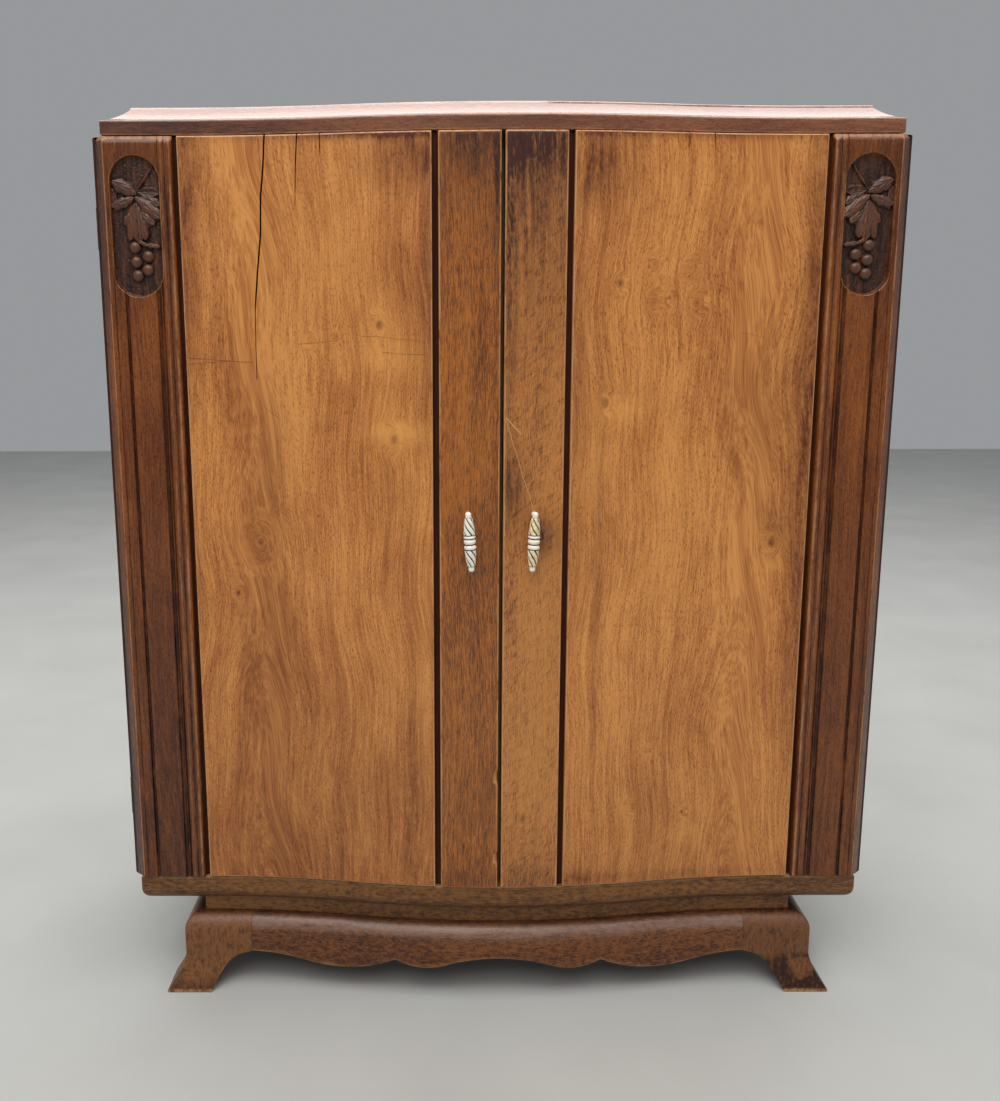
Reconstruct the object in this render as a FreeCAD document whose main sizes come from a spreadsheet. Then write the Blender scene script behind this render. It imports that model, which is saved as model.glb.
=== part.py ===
import FreeCAD, Part
import math
import os
from types import SimpleNamespace

import Sketcher

# Bow-fronted two-door armoire. Millimetres, +Z up, front towards -Y.
# The origin is the middle of the footprint at floor level.

doc = FreeCAD.newDocument("Armoire")

# ---------------------------------------------------------------- driving dimensions

SIZES = {
    # whole piece
    "back_plane": 255.0,
    "front_plane": -185.0,
    "handle_front": -255.0,
    # levels above the floor
    "apron_top": 138.0,
    "plinth_top": 167.0,
    "base_top": 217.0,
    "door_bottom": 219.0,
    "door_top": 1485.0,
    "cap_bottom": 1487.0,
    "cap_top": 1509.0,
    # bow of the front
    "bow_depth": 39.5,
    "bow_turn": 258.0,
    "bow_start": 516.0,
    # top
    "cap_half": 637.0,
    "cap_set": 7.0,
    "cove_width": 52.0,
    "cove_rise": 27.5,
    "lip_drop": 2.5,
    "lid_gap": 1.0,
    # base, plinth and apron
    "base_half": 641.0,
    "base_round": 26.0,
    "plinth_half": 534.0,
    "plinth_set": 32.0,
    "plinth_thick": 22.0,
    "apron_set": 6.0,
    "apron_thick": 44.0,
    "shoulder_radius": 27.0,
    "seam_half": 446.0,
    "foot_half": 568.0,
    "toe_half": 601.0,
    "toe_reach": 21.0,
    "foot_run": 160.0,
    "foot_wall": 40.0,
    # carcass
    "side_half": 648.0,
    "post_width": 42.0,
    "post_depth": 40.0,
    "side_thick": 10.0,
    "side_recess": 4.0,
    "joint_set": 42.5,
    "partition_thick": 18.0,
    "back_thick": 6.0,
    "muntin_width": 60.0,
    "muntin_thick": 10.0,
    # inside
    "shelf_thick": 18.0,
    "shelf_gap": 1.0,
    "hat_shelf_level": 1215.0,
    "rail_level": 1152.0,
    "rail_radius": 12.5,
    "socket_radius": 19.0,
    "socket_length": 12.0,
    "socket_bore": 12.7,
    "cleat_size": 20.0,
    # doors
    "door_gap": 3.0,
    "door_half": 652.0,
    "core_front": 14.0,
    "core_back": 41.5,
    "panel_inner": 111.6,
    "panel_outer": 516.0,
    "panel_set": 1.5,
    "stile_outer": 101.5,
    # pilaster
    "pilaster_inner": 524.0,
    "pilaster_arris": 634.0,
    "cant_depth": 20.0,
    "pilaster_chamfer": 9.0,
    # carving
    "carving_centre": 585.5,
    "carving_level": 1345.7,
    "carving_width": 77.6,
    "carving_height": 219.0,
    "carving_depth": 9.0,
    "leaf_height": 5.5,
    "grape_radius": 8.6,
    # handle
    "handle_offset": 52.0,
    "handle_level": 842.0,
    "handle_half": 49.5,
    "ring_radius": 10.0,
    "handle_post": 42.0,
    "handle_post_radius": 4.0,
    # hinges
    "hinge_offset": 657.5,
    "hinge_plane": 42.0,
    "hinge_upper": 1347.0,
    "hinge_lower": 357.0,
    "hinge_height": 67.0,
    "knuckle_radius": 4.7,
    "pin_radius": 2.5,
    "pin_clearance": 0.05,
    "leaf_thick": 2.0,
    "leaf_air": 0.1,
    "leaf_inner": 622.0,
    "knuckle_air": 0.4,
    "screw_radius": 1.9,
    "screw_head": 3.8,
    "screw_length": 16.0,
    # catches
    "catch_offset": 40.0,
    "catch_width": 30.0,
    "catch_depth": 18.0,
    "catch_height": 14.0,
    "strike_thick": 1.4,
    "strike_low": 16.0,
    "strike_high": 4.0,
}

sheet = doc.addObject("Spreadsheet::Sheet", "Sizes")
for row, (alias, value) in enumerate(SIZES.items(), start=1):
    sheet.set(f"A{row}", alias)
    sheet.set(f"B{row}", str(value))
    sheet.setAlias(f"B{row}", alias)
doc.recompute()


class Size:
    """A length with its number and the spreadsheet expression that gives it."""

    def __init__(self, value, text):
        self.value = value
        self.text = text

    def __add__(self, other):
        other = as_size(other)
        return Size(self.value + other.value, f"({self.text} + {other.text})")

    def __sub__(self, other):
        other = as_size(other)
        return Size(self.value - other.value, f"({self.text} - {other.text})")

    def __mul__(self, factor):
        return Size(self.value * factor, f"({self.text} * {factor})")

    def __neg__(self):
        return self * -1

    __radd__ = __add__
    __rmul__ = __mul__


def as_size(number):
    """Wrap a plain number, and pass a Size through."""
    if isinstance(number, Size):
        return number
    return Size(float(number), f"({float(number):.4f})")


def span(first, second):
    """Two lengths in rising order, low end first."""
    pair = (as_size(first), as_size(second))
    return sorted(pair, key=lambda size: size.value)


d = SimpleNamespace(**{alias: Size(value, f"Sizes.{alias}") for alias, value in SIZES.items()})

nodes = {}


def keep(label, shape_object):
    """Name a finished piece and list it for export."""
    shape_object.Label = label
    nodes[label] = shape_object
    return shape_object


# ---------------------------------------------------------------- makers

def move(shape_object, x, y, z):
    """Bind a primitive's base point to the sheet."""
    for axis, size in zip("xyz", (x, y, z)):
        shape_object.setExpression(f".Placement.Base.{axis}", as_size(size).text)


def block(name, x, y, z):
    """A box between low and high sizes on each axis."""
    box = doc.addObject("Part::Box", name)
    for side, (low, high) in zip(("Length", "Width", "Height"), (x, y, z)):
        box.setExpression(side, (as_size(high) - low).text)
    move(box, x[0], y[0], z[0])
    return box


def board(label, x, y, z, ease=0.8):
    """A box with all its arrises eased, kept as a piece."""
    blank = block(f"{label}_blank", x, y, z)
    eased = doc.addObject("Part::Chamfer", f"{label}_eased")
    eased.Base = blank
    eased.Edges = [(edge, ease, ease) for edge in range(1, 13)]
    return keep(label, eased)


def cylinder(name, radius, length, x, y, z, tilt=None):
    """A round bar from a base point, along +Z unless tilted."""
    bar = doc.addObject("Part::Cylinder", name)
    bar.setExpression("Radius", as_size(radius).text)
    bar.setExpression("Height", as_size(length).text)
    if tilt is not None:
        bar.Placement = FreeCAD.Placement(FreeCAD.Vector(), tilt)
    move(bar, x, y, z)
    return bar


ALONG_X = FreeCAD.Rotation(FreeCAD.Vector(0, 1, 0), 90)
ALONG_Y = FreeCAD.Rotation(FreeCAD.Vector(1, 0, 0), -90)
TOWARDS_FRONT = FreeCAD.Rotation(FreeCAD.Vector(1, 0, 0), 90)


def joined(name, parts):
    """Several solids as one object, welded where they meet."""
    fuse = doc.addObject("Part::MultiFuse", name)
    fuse.Shapes = parts
    return fuse


def less(name, base, tool):
    """The base with the tool taken away."""
    cut = doc.addObject("Part::Cut", name)
    cut.Base = base
    cut.Tool = tool
    return cut


def new_body(name):
    return doc.addObject("PartDesign::Body", name)


def sketch_on(body, name, role, offset=0.0):
    """A sketch on one of the body's own origin planes, moved along its normal."""
    sketch = body.newObject("Sketcher::SketchObject", name)
    plane = next(feature for feature in body.Origin.OriginFeatures if feature.Role == role)
    sketch.AttachmentSupport = [(plane, "")]
    sketch.MapMode = "FlatFace"
    sketch.setExpression("AttachmentOffset.Base.z", as_size(offset).text)
    return sketch


def vector(point):
    return FreeCAD.Vector(as_size(point[0]).value, as_size(point[1]).value, 0)


def draw(sketch, steps, closed=True):
    """Draw a chain of lines and arcs. A step is (x, y), or (x, y, via) for an arc through via."""
    count = len(steps)
    spans = count if closed else count - 1
    ends = []
    for number in range(spans):
        start = steps[number]
        finish = steps[(number + 1) % count]
        first, last = vector(start), vector(finish)
        if len(finish) == 3:
            index = sketch.addGeometry(Part.Arc(first, vector(finish[2]), last), False)
        else:
            index = sketch.addGeometry(Part.LineSegment(first, last), False)
        forward = sketch.getPoint(index, 1).distanceToPoint(first) < 1e-6
        ends.append((index, 1 if forward else 2, 2 if forward else 1))
    for number in range(spans):
        if number + 1 == spans and not closed:
            break
        index, _, tail = ends[number]
        following, head, _ = ends[(number + 1) % spans]
        sketch.addConstraint(Sketcher.Constraint("Coincident", index, tail, following, head))
    for number in range(count):
        index, head, tail = ends[min(number, spans - 1)]
        place = head if number < spans else tail
        for kind, size in zip(("DistanceX", "DistanceY"), steps[number][:2]):
            size = as_size(size)
            rule = Sketcher.Constraint(kind, -1, 1, index, place, size.value)
            label = sketch.addConstraint(rule)
            sketch.setExpression(f"Constraints[{label}]", size.text)


def pad(body, sketch, length, flip=False):
    feature = body.newObject("PartDesign::Pad", f"{sketch.Name}_pad")
    feature.Profile = sketch
    feature.setExpression("Length", as_size(length).text)
    feature.Reversed = flip
    return feature


def pocket(body, sketch, length, flip=False):
    """Cut a pocket, and stop if it removes nothing."""
    doc.recompute()
    before = body.Shape.Volume
    feature = body.newObject("PartDesign::Pocket", f"{sketch.Name}_pocket")
    feature.Profile = sketch
    feature.setExpression("Length", as_size(length).text)
    feature.Reversed = flip
    doc.recompute()
    if body.Shape.Volume > before - 1.0:
        raise RuntimeError(f"{feature.Name} removes nothing")
    return feature


def slab(name, steps, low, high):
    """A flat plan outline carried up between two levels."""
    body = new_body(name)
    sketch = sketch_on(body, f"{name}_plan", "XY_Plane", low)
    draw(sketch, steps)
    pad(body, sketch, as_size(high) - low)
    return body


# ---------------------------------------------------------------- the bowed line of the front

HALF_RISE = SIZES["bow_depth"] / 2
BOW_RADIUS = (SIZES["bow_turn"] ** 2 + HALF_RISE ** 2) / (2 * HALF_RISE)


def forward(x):
    """How far the bow stands out at x: a convex arc in the middle, reverse arcs beside it."""
    reach = abs(x)
    if reach >= SIZES["bow_start"]:
        return 0.0
    if reach <= SIZES["bow_turn"]:
        return SIZES["bow_depth"] - BOW_RADIUS + math.sqrt(BOW_RADIUS ** 2 - reach ** 2)
    rest = SIZES["bow_start"] - reach
    return BOW_RADIUS - math.sqrt(BOW_RADIUS ** 2 - rest ** 2)


def on_bow(x, set_back):
    """A plan point at x, set back from the bowed face."""
    x = as_size(x)
    return (x, d.front_plane + set_back - as_size(forward(x.value)))


def bowed_run(start, finish, set_back):
    """Plan steps along the bow from one x to another, broken where its arcs meet."""
    first, last = as_size(start).value, as_size(finish).value
    rising = last > first
    turns = [-d.bow_start, -d.bow_turn, d.bow_turn, d.bow_start]
    inside = [turn for turn in turns if min(first, last) < turn.value < max(first, last)]
    stops = [as_size(start)] + (inside if rising else inside[::-1]) + [as_size(finish)]
    steps = [on_bow(stops[0], set_back)]
    for before, after in zip(stops, stops[1:]):
        middle = (before.value + after.value) / 2
        if abs(middle) > SIZES["bow_start"]:
            steps.append(on_bow(after, set_back))
        else:
            steps.append((*on_bow(after, set_back), on_bow(middle, set_back)))
    return steps


def bowed_slab(name, half, front_set, back, low, high):
    """A board with a bowed front edge and a straight back edge."""
    steps = bowed_run(-half, half, front_set) + [(half, back), (-half, back)]
    return slab(name, steps, low, high)


def bowed_strip(name, inner, outer, front_set, back_set, low, high):
    """A strip of constant thickness that follows the bow between two x."""
    steps = bowed_run(inner, outer, front_set) + bowed_run(outer, inner, back_set)
    return slab(name, steps, low, high)


# ---------------------------------------------------------------- top

keep("top_cap", bowed_slab("cap", d.cap_half, d.cap_set, d.back_plane, d.cap_bottom, d.cap_top))
lid_inset = d.cove_width + d.lid_gap
keep("top_panel", bowed_slab("lid", d.cap_half - lid_inset, d.cap_set + lid_inset, d.back_plane,
                             d.cap_top, d.cap_top + d.cove_rise - d.lip_drop))


def cove_section(edge, inward):
    """The cove's section: shallow hollow from the outer edge up to a small lip."""
    def at(run, rise):
        return (edge + inward * as_size(run), d.cap_top + rise)
    lip = d.cove_rise
    foot = (edge + inward * d.cove_width, d.cap_top)
    crown = (edge + inward * d.cove_width, d.cap_top + lip)
    return [at(0, 0), at(2, 0.6), (*at(38, 23.5), at(19, 8.3)), at(39, 27.5), crown, foot]


MITRE_SPARE = 3.0
for side, end in ((-1, "left"), (1, "right")):
    body = new_body(f"cove_{end}_body")
    section = sketch_on(body, f"cove_{end}_section", "XZ_Plane", -d.back_plane)
    draw(section, cove_section(d.cap_half * side, -side))
    pad(body, section, d.back_plane - d.front_plane - d.cap_set)
    mitre = sketch_on(body, f"cove_{end}_mitre", "XY_Plane", d.cap_top - 1)
    corner_y = d.front_plane + d.cap_set
    reach = d.cove_width + MITRE_SPARE
    draw(mitre, [(d.cap_half * side, corner_y), ((d.cap_half - reach) * side, corner_y + reach),
                 ((d.cap_half - reach) * side, corner_y - MITRE_SPARE),
                 (d.cap_half * side, corner_y - MITRE_SPARE)])
    pocket(body, mitre, d.cove_rise + 2, flip=True)
    keep(f"cove_{end}", body)

body = new_body("cove_front_body")
path = sketch_on(body, "cove_front_path", "XY_Plane", d.cap_top)
draw(path, bowed_run(-d.cap_half, d.cap_half, d.cap_set), closed=False)
section = sketch_on(body, "cove_front_section", "YZ_Plane", -d.cap_half)
draw(section, cove_section(d.front_plane + d.cap_set, 1))
pipe = body.newObject("PartDesign::AdditivePipe", "cove_front_pipe")
pipe.Profile = section
pipe.Spine = (path, [])
for side, end in ((-1, "left"), (1, "right")):
    mitre = sketch_on(body, f"cove_front_{end}_mitre", "XY_Plane", d.cap_top - 1)
    reach = d.cove_width + MITRE_SPARE
    draw(mitre, [(d.cap_half * side, corner_y), ((d.cap_half - reach) * side, corner_y + reach),
                 ((d.cap_half + MITRE_SPARE) * side, corner_y + reach),
                 ((d.cap_half + MITRE_SPARE) * side, corner_y)])
    pocket(body, mitre, d.cove_rise + 2, flip=True)
keep("cove_front", body)

# ---------------------------------------------------------------- base board, plinth and apron

body = bowed_slab("base_body", d.base_half, d.cap_set, d.back_plane, d.plinth_top, d.base_top)
doc.recompute()
lower_edges = []
for number, edge in enumerate(body.Shape.Edges, start=1):
    box = edge.BoundBox
    at_bottom = box.ZMax < SIZES["plinth_top"] + 0.01
    if at_bottom and box.YMin < SIZES["back_plane"] - 1:
        lower_edges.append(f"Edge{number}")
square_board = body.Tip
rounding = body.newObject("PartDesign::Fillet", "base_rounding")
rounding.Base = (square_board, lower_edges)
rounding.setExpression("Radius", d.base_round.text)
keep("base_board", body)

plinth_front_back = d.plinth_set + d.plinth_thick
keep("plinth_front", bowed_strip("plinth_body", -d.plinth_half, d.plinth_half, d.plinth_set,
                                 plinth_front_back, d.apron_top, d.plinth_top))
for side, end in ((-1, "left"), (1, "right")):
    xs = span(d.plinth_half * side, (d.plinth_half - d.plinth_thick) * side)
    board(f"plinth_{end}", xs, (d.front_plane + plinth_front_back, d.back_plane - 30),
          (d.apron_top, d.plinth_top))


def shoulder_section(face, inward, low):
    """Upright face, round shoulder, flat top and back of an apron board."""
    shoulder = d.shoulder_radius
    lean = 1 - math.sqrt(0.5)
    turn = (face + inward * (shoulder * lean), d.apron_top - shoulder * lean)
    crest = (face + inward * shoulder, d.apron_top)
    back = face + inward * d.apron_thick
    return [(face, low), (face, d.apron_top - shoulder), (*crest, turn), (back, d.apron_top), (back, low)]


SCALLOP = [(0, 79), (95, 63.5), (184, 71.3), (352, 57.5), (446, 70.5)]
SCALLOP_VIA = [(47, 75.0), (133, 57.6), (276, 48.4), (400, 66.6)]
APRON_LOW = 40.0

body = new_body("apron_front_body")
path = sketch_on(body, "apron_path", "XY_Plane", d.apron_top)
draw(path, bowed_run(-d.seam_half, d.seam_half, d.apron_set), closed=False)
section = sketch_on(body, "apron_section", "YZ_Plane", -d.seam_half)
seam_face = on_bow(d.seam_half, d.apron_set)[1]
draw(section, shoulder_section(seam_face, 1, APRON_LOW))
pipe = body.newObject("PartDesign::AdditivePipe", "apron_pipe")
pipe.Profile = section
pipe.Spine = (path, [])
scallop = sketch_on(body, "apron_scallop", "XZ_Plane", -d.front_plane + 60)
UNDER = APRON_LOW - 10
right_half = [(*point, via) for point, via in zip(SCALLOP[1:], SCALLOP_VIA)]
left_points = [(-x, z) for x, z in SCALLOP[::-1]]
left_via = [(-x, z) for x, z in SCALLOP_VIA[::-1]]
left_half = [left_points[0]] + [(*point, via) for point, via in zip(left_points[1:], left_via)]
draw(scallop, left_half + right_half + [(d.seam_half, UNDER), (-d.seam_half, UNDER)])
pocket(body, scallop, 140)
keep("apron_front", body)


ARCH_TOP = 70.5


def arch(seam, sign):
    """The arched inner edge of a foot, from its seam down to the floor."""
    return [(seam, ARCH_TOP), (seam + sign * 40, 53, (seam + sign * 22, 64.5)),
            (seam + sign * 74, 0, (seam + sign * 60, 26))]


def foot_outline(splay, seam):
    """One elevation of a bracket foot: splayed toe, upright face, shoulder, arched inner edge."""
    shoulder = d.shoulder_radius
    lean = 1 - math.sqrt(0.5)
    turn = (splay(0) - splay.sign * (shoulder * lean), d.apron_top - shoulder * lean)
    crest = (splay(0) - splay.sign * shoulder, d.apron_top)
    return [(splay(1), 0), (splay(0), 66, (splay(0.32), 34)), (splay(0), d.apron_top - shoulder),
            (*crest, turn), (seam, d.apron_top), *arch(seam, splay.sign)]


class Splay:
    """Places along a foot's outer edge: 0 at the upright face, 1 at the tip of the toe."""

    def __init__(self, face, reach, sign):
        self.face = face
        self.reach = reach
        self.sign = sign

    def __call__(self, part):
        return self.face + self.sign * (self.reach * part)


front_face = d.front_plane + d.apron_set
front_seam = front_face + d.foot_run - d.foot_wall
rear_seam = d.back_plane - 120
for side, end in ((-1, "left"), (1, "right")):
    across = Splay(d.foot_half * side, d.toe_half - d.foot_half, side)
    along = Splay(front_face, d.toe_reach, -1)
    side_start = d.seam_half - 5 if side > 0 else -d.toe_half - 5
    side_length = d.toe_half - d.seam_half + 10

    elevation = new_body(f"foot_front_{end}_elevation")
    sketch = sketch_on(elevation, f"foot_front_{end}_face", "XZ_Plane", -front_seam)
    draw(sketch, foot_outline(across, d.seam_half * side))
    pad(elevation, sketch, d.foot_run + 10)

    profile = new_body(f"foot_front_{end}_profile")
    sketch = sketch_on(profile, f"foot_front_{end}_side", "YZ_Plane", side_start)
    draw(sketch, foot_outline(along, front_seam))
    pad(profile, sketch, side_length)

    whole = doc.addObject("Part::Common", f"foot_front_{end}_whole")
    whole.Base = elevation
    whole.Tool = profile
    xs = span(d.seam_half * side - side, (d.foot_half - d.foot_wall) * side)
    hollow = block(f"foot_front_{end}_hollow", xs, (front_face + d.apron_thick, front_seam + 1),
                   (-1, d.apron_top + 1))
    keep(f"foot_front_{end}", less(f"foot_front_{end}_cut", whole, hollow))

    elevation = new_body(f"foot_rear_{end}_elevation")
    sketch = sketch_on(elevation, f"foot_rear_{end}_face", "XZ_Plane", -d.back_plane)
    draw(sketch, foot_outline(across, d.seam_half * side))
    pad(elevation, sketch, d.back_plane - rear_seam)

    profile = new_body(f"foot_rear_{end}_profile")
    sketch = sketch_on(profile, f"foot_rear_{end}_side", "YZ_Plane", side_start)
    draw(sketch, [(d.back_plane, 0), (d.back_plane, d.apron_top), (rear_seam, d.apron_top),
                  *arch(rear_seam, 1)])
    pad(profile, sketch, side_length)

    whole = doc.addObject("Part::Common", f"foot_rear_{end}_whole")
    whole.Base = elevation
    whole.Tool = profile
    hollow = block(f"foot_rear_{end}_hollow", xs, (rear_seam - 1, d.back_plane - d.foot_wall),
                   (-1, d.apron_top + 1))
    keep(f"foot_rear_{end}", less(f"foot_rear_{end}_cut", whole, hollow))

    apron = new_body(f"apron_{end}_body")
    sketch = sketch_on(apron, f"apron_{end}_section", "XZ_Plane", -rear_seam)
    draw(sketch, shoulder_section(d.foot_half * side, -side, ARCH_TOP))
    pad(apron, sketch, rear_seam - front_seam)
    keep(f"apron_{end}", apron)

board("rear_rail", (-d.seam_half, d.seam_half), (d.back_plane - d.foot_wall, d.back_plane),
      (78, d.apron_top))

BLOCK_SIDE = 38.0
blocks = []
for side in (-1, 1):
    inner = (d.foot_half - d.foot_wall) * side
    xs = span(inner, inner - side * BLOCK_SIDE)
    front = front_face + d.apron_thick
    rear = d.back_plane - d.foot_wall
    for ys in ((front, front + BLOCK_SIDE), (rear - BLOCK_SIDE, rear)):
        blocks.append(block(f"glue_block_{len(blocks) + 1}", xs, ys, (80, d.apron_top)))
keep("glue_blocks", joined("glue_block_set", blocks))

# ---------------------------------------------------------------- hinges

axis_y = d.front_plane + d.hinge_plane
HINGE_LEVELS = (("upper", d.hinge_upper), ("lower", d.hinge_lower))
KNUCKLES = 5
SCREW_ROWS = (-22.0, 0.0, 22.0)
SCREW_IN = 12.0


def hinge_screws(name, side, facing):
    """Countersunk screws of one leaf pair, heads in the joint; facing is the way their tips point."""
    seat = axis_y + facing * d.leaf_air
    tilt = ALONG_Y if facing > 0 else TOWARDS_FRONT
    screws = []
    for level_name, level in HINGE_LEVELS:
        for row_number, rise in enumerate(SCREW_ROWS):
            x = (d.leaf_inner + SCREW_IN) * side
            tag = f"{name}_{level_name}_{row_number}"
            head = doc.addObject("Part::Cone", f"{tag}_head")
            head.setExpression("Radius1", d.screw_head.text)
            head.setExpression("Radius2", d.screw_radius.text)
            head.setExpression("Height", d.leaf_thick.text)
            head.Placement = FreeCAD.Placement(FreeCAD.Vector(), tilt)
            move(head, x, seat, level + rise)
            shank = cylinder(f"{tag}_shank", d.screw_radius, d.screw_length, x, seat, level + rise, tilt)
            screws.append(joined(tag, [head, shank]))
    return joined(f"{name}_set", screws)


def hinge_leaves(name, side, facing, own, bore):
    """Two leaves with their knuckles; own are the knuckle numbers, counted from below."""
    pitch = d.hinge_height * (1 / KNUCKLES)
    solids = []
    for level_name, level in HINGE_LEVELS:
        foot = level - d.hinge_height * 0.5
        near = axis_y + facing * d.leaf_air
        ys = span(near, near + facing * d.leaf_thick)
        clear = d.hinge_offset - d.knuckle_radius - 0.6
        xs = span(d.leaf_inner * side, clear * side)
        pieces = [block(f"{name}_{level_name}_plate", xs, ys, (foot, foot + d.hinge_height))]
        for number in own:
            low = foot + pitch * number + (0 if number == 0 else d.knuckle_air * 0.5)
            high = foot + pitch * (number + 1) - (0 if number == KNUCKLES - 1 else d.knuckle_air * 0.5)
            tag = f"{name}_{level_name}_{number}"
            pieces.append(cylinder(f"{tag}_barrel", d.knuckle_radius, high - low,
                                   d.hinge_offset * side, axis_y, low))
            tab = span(clear * side, (d.hinge_offset - d.pin_radius) * side)
            pieces.append(block(f"{tag}_tab", tab, ys, (low, high)))
        hole = cylinder(f"{name}_{level_name}_bore", bore, d.hinge_height + 2,
                        d.hinge_offset * side, axis_y, foot - 1)
        solids.append(less(f"{name}_{level_name}_leaf", joined(f"{name}_{level_name}_solid", pieces), hole))
    return joined(f"{name}_pair", solids)


def leaf_mortises(name, side, facing):
    """The space that two leaf plates take in the wood."""
    recesses = []
    for level_name, level in HINGE_LEVELS:
        near = axis_y - facing * 2.0
        far = axis_y + facing * (d.leaf_air + d.leaf_thick)
        ys = span(near, far)
        xs = span(d.leaf_inner * side, (d.hinge_offset + 5) * side)
        low = level - d.hinge_height * 0.5
        recesses.append(block(f"{name}_{level_name}_mortise", xs, ys, (low, low + d.hinge_height)))
    return recesses


fixed_screw_sets = []
for side, end in ((-1, "left"), (1, "right")):
    fixed_screws = hinge_screws(f"fixed_{end}_screw", side, 1)
    fixed_screw_sets.append(fixed_screws)
    fixed = hinge_leaves(f"fixed_{end}", side, 1, (0, 2, 4), d.pin_radius + d.pin_clearance)
    keep(f"hinge_leaves_{end}", less(f"fixed_{end}_drilled", fixed, fixed_screws))

    xs = span(d.side_half * side, (d.side_half - d.post_width) * side)
    front = d.front_plane + d.joint_set
    post = block(f"front_post_{end}_blank", xs, (front, front + d.post_depth), (d.base_top, d.cap_bottom))
    cutter = joined(f"front_post_{end}_cutter", leaf_mortises(f"fixed_{end}", side, 1) + [fixed_screws])
    keep(f"front_post_{end}", less(f"front_post_{end}_cut", post, cutter))
keep("hinge_screws_carcass", joined("fixed_screws_all", fixed_screw_sets))

# ---------------------------------------------------------------- carcass

post_back = d.front_plane + d.joint_set + d.post_depth
inner_side = d.side_half - d.side_recess - d.side_thick
walls = (d.base_top, d.cap_bottom)
half_partition = d.partition_thick * 0.5
half_muntin = d.muntin_width * 0.5
inner_back = d.back_plane - d.muntin_thick
for side, end in ((-1, "left"), (1, "right")):
    post_x = span(d.side_half * side, (d.side_half - d.post_width) * side)
    board(f"rear_post_{end}", post_x, (d.back_plane - d.post_depth, d.back_plane), walls)
    panel_x = span((d.side_half - d.side_recess) * side, inner_side * side)
    board(f"side_panel_{end}", panel_x, (post_back, d.back_plane - d.post_depth), walls, ease=0.4)
    back_x = span(half_muntin * side, (d.side_half - d.post_width) * side)
    back_y = d.back_plane - 2 - d.back_thick
    board(f"back_panel_{end}", back_x, (back_y, back_y + d.back_thick), walls, ease=0.4)
board("back_muntin", (-half_muntin, half_muntin), (inner_back, d.back_plane), walls)
partition_front = d.front_plane + d.joint_set - d.bow_depth + 1
board("partition", (-half_partition, half_partition), (partition_front, inner_back), walls)

# ---------------------------------------------------------------- inside

shelf_y = (post_back + d.shelf_gap, d.back_plane - d.post_depth - d.shelf_gap)
SHELF_LEVELS = (("lower", 520.0), ("middle", 830.0), ("upper", 1140.0))
RAIL_SET = 55.0


def shelf(label, side, top):
    """A shelf between the partition and one side, its top at the given level."""
    xs = span(half_partition * side, (inner_side - d.shelf_gap) * side)
    return board(label, xs, shelf_y, (top - d.shelf_thick, top), ease=1.5)


def cleats(tag, side, top):
    """Two battens under a shelf."""
    low = as_size(top) - d.shelf_thick - d.cleat_size
    at_side = span(inner_side * side, (inner_side - d.cleat_size) * side)
    at_middle = span(half_partition * side, (half_partition + d.cleat_size) * side)
    return [block(f"cleat_{tag}_{number}", xs, shelf_y, (low, low + d.cleat_size))
            for number, xs in enumerate((at_side, at_middle))]


shelf("hat_shelf", -1, d.hat_shelf_level)
cleat_list = cleats("hat", -1, d.hat_shelf_level)
for level_name, level in SHELF_LEVELS:
    shelf(f"shelf_{level_name}", 1, as_size(level))
    cleat_list += cleats(level_name, 1, level)
keep("shelf_cleats", joined("cleat_set", cleat_list))

rail_y = as_size(RAIL_SET)
keep("hanging_rail", cylinder("rail", d.rail_radius, inner_side - half_partition - 2, -inner_side + 1,
                              rail_y, d.rail_level, ALONG_X))
sockets = []
for number, start in enumerate((-inner_side, -half_partition - d.socket_length)):
    cup = cylinder(f"socket_{number}_cup", d.socket_radius, d.socket_length, start, rail_y,
                   d.rail_level, ALONG_X)
    bore = cylinder(f"socket_{number}_bore", d.socket_bore, d.socket_length + 2, start - 1, rail_y,
                    d.rail_level, ALONG_X)
    sockets.append(less(f"socket_{number}", cup, bore))
keep("rail_sockets", joined("socket_pair", sockets))

half_catch = d.catch_width * 0.5
catch_edge = d.catch_offset + half_catch
catch_y = on_bow(catch_edge, d.joint_set + 1)[1]
catch_blocks = []
for side in (-1, 1):
    centre = d.catch_offset * side
    catch_blocks.append(block(f"catch_{'left' if side < 0 else 'right'}",
                              (centre - half_catch, centre + half_catch),
                              (catch_y, catch_y + d.catch_depth),
                              (d.cap_bottom - d.catch_height, d.cap_bottom)))
keep("door_catches", joined("catch_pair", catch_blocks))

# ---------------------------------------------------------------- doors

HANDLE_PROFILE = [(0, 49.5), (3.6, 49.0), (5.2, 46.5), (5.2, 42.0), (4.2, 40.0), (5.6, 33.0), (7.4, 22.0),
                  (7.0, 12.0), (8.0, 10.0), (10.0, 8.2), (8.4, 3.6), (10.0, 2.6)]
HANDLE_TILTS = {-1: -3.4, 1: 2.6}

LEAF = [(3, 50), (0, 66), (14, 74), (37, 74), (38, 60), (20, 51), (36, 42), (35, 24), (19, 22), (18, 4),
        (7, -19), (-12, -26), (-24, -4), (-30, 2), (-30, 12), (-39, 14), (-33, 28), (-38, 42), (-20, 50),
        (-26, 60), (-12, 62)]
STEM = [(-21, 95), (-17, 97), (2, 64), (-2, 62)]
GRAPES = [(4.8, -31.2), (-14.4, -44.3), (5.4, -53.9), (-13.2, -66.1), (4.1, -75.7)]

# low x, high x and depth of each groove down the face: two bead quirks, two flutes, an arris line
PILASTER_GROOVES = ((534.0, 536.0, 1.5), (547.0, 549.0, 1.5), (550.5, 557.5, 4.0), (603.5, 609.0, 4.0),
                    (624.0, 626.0, 1.2))


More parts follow.
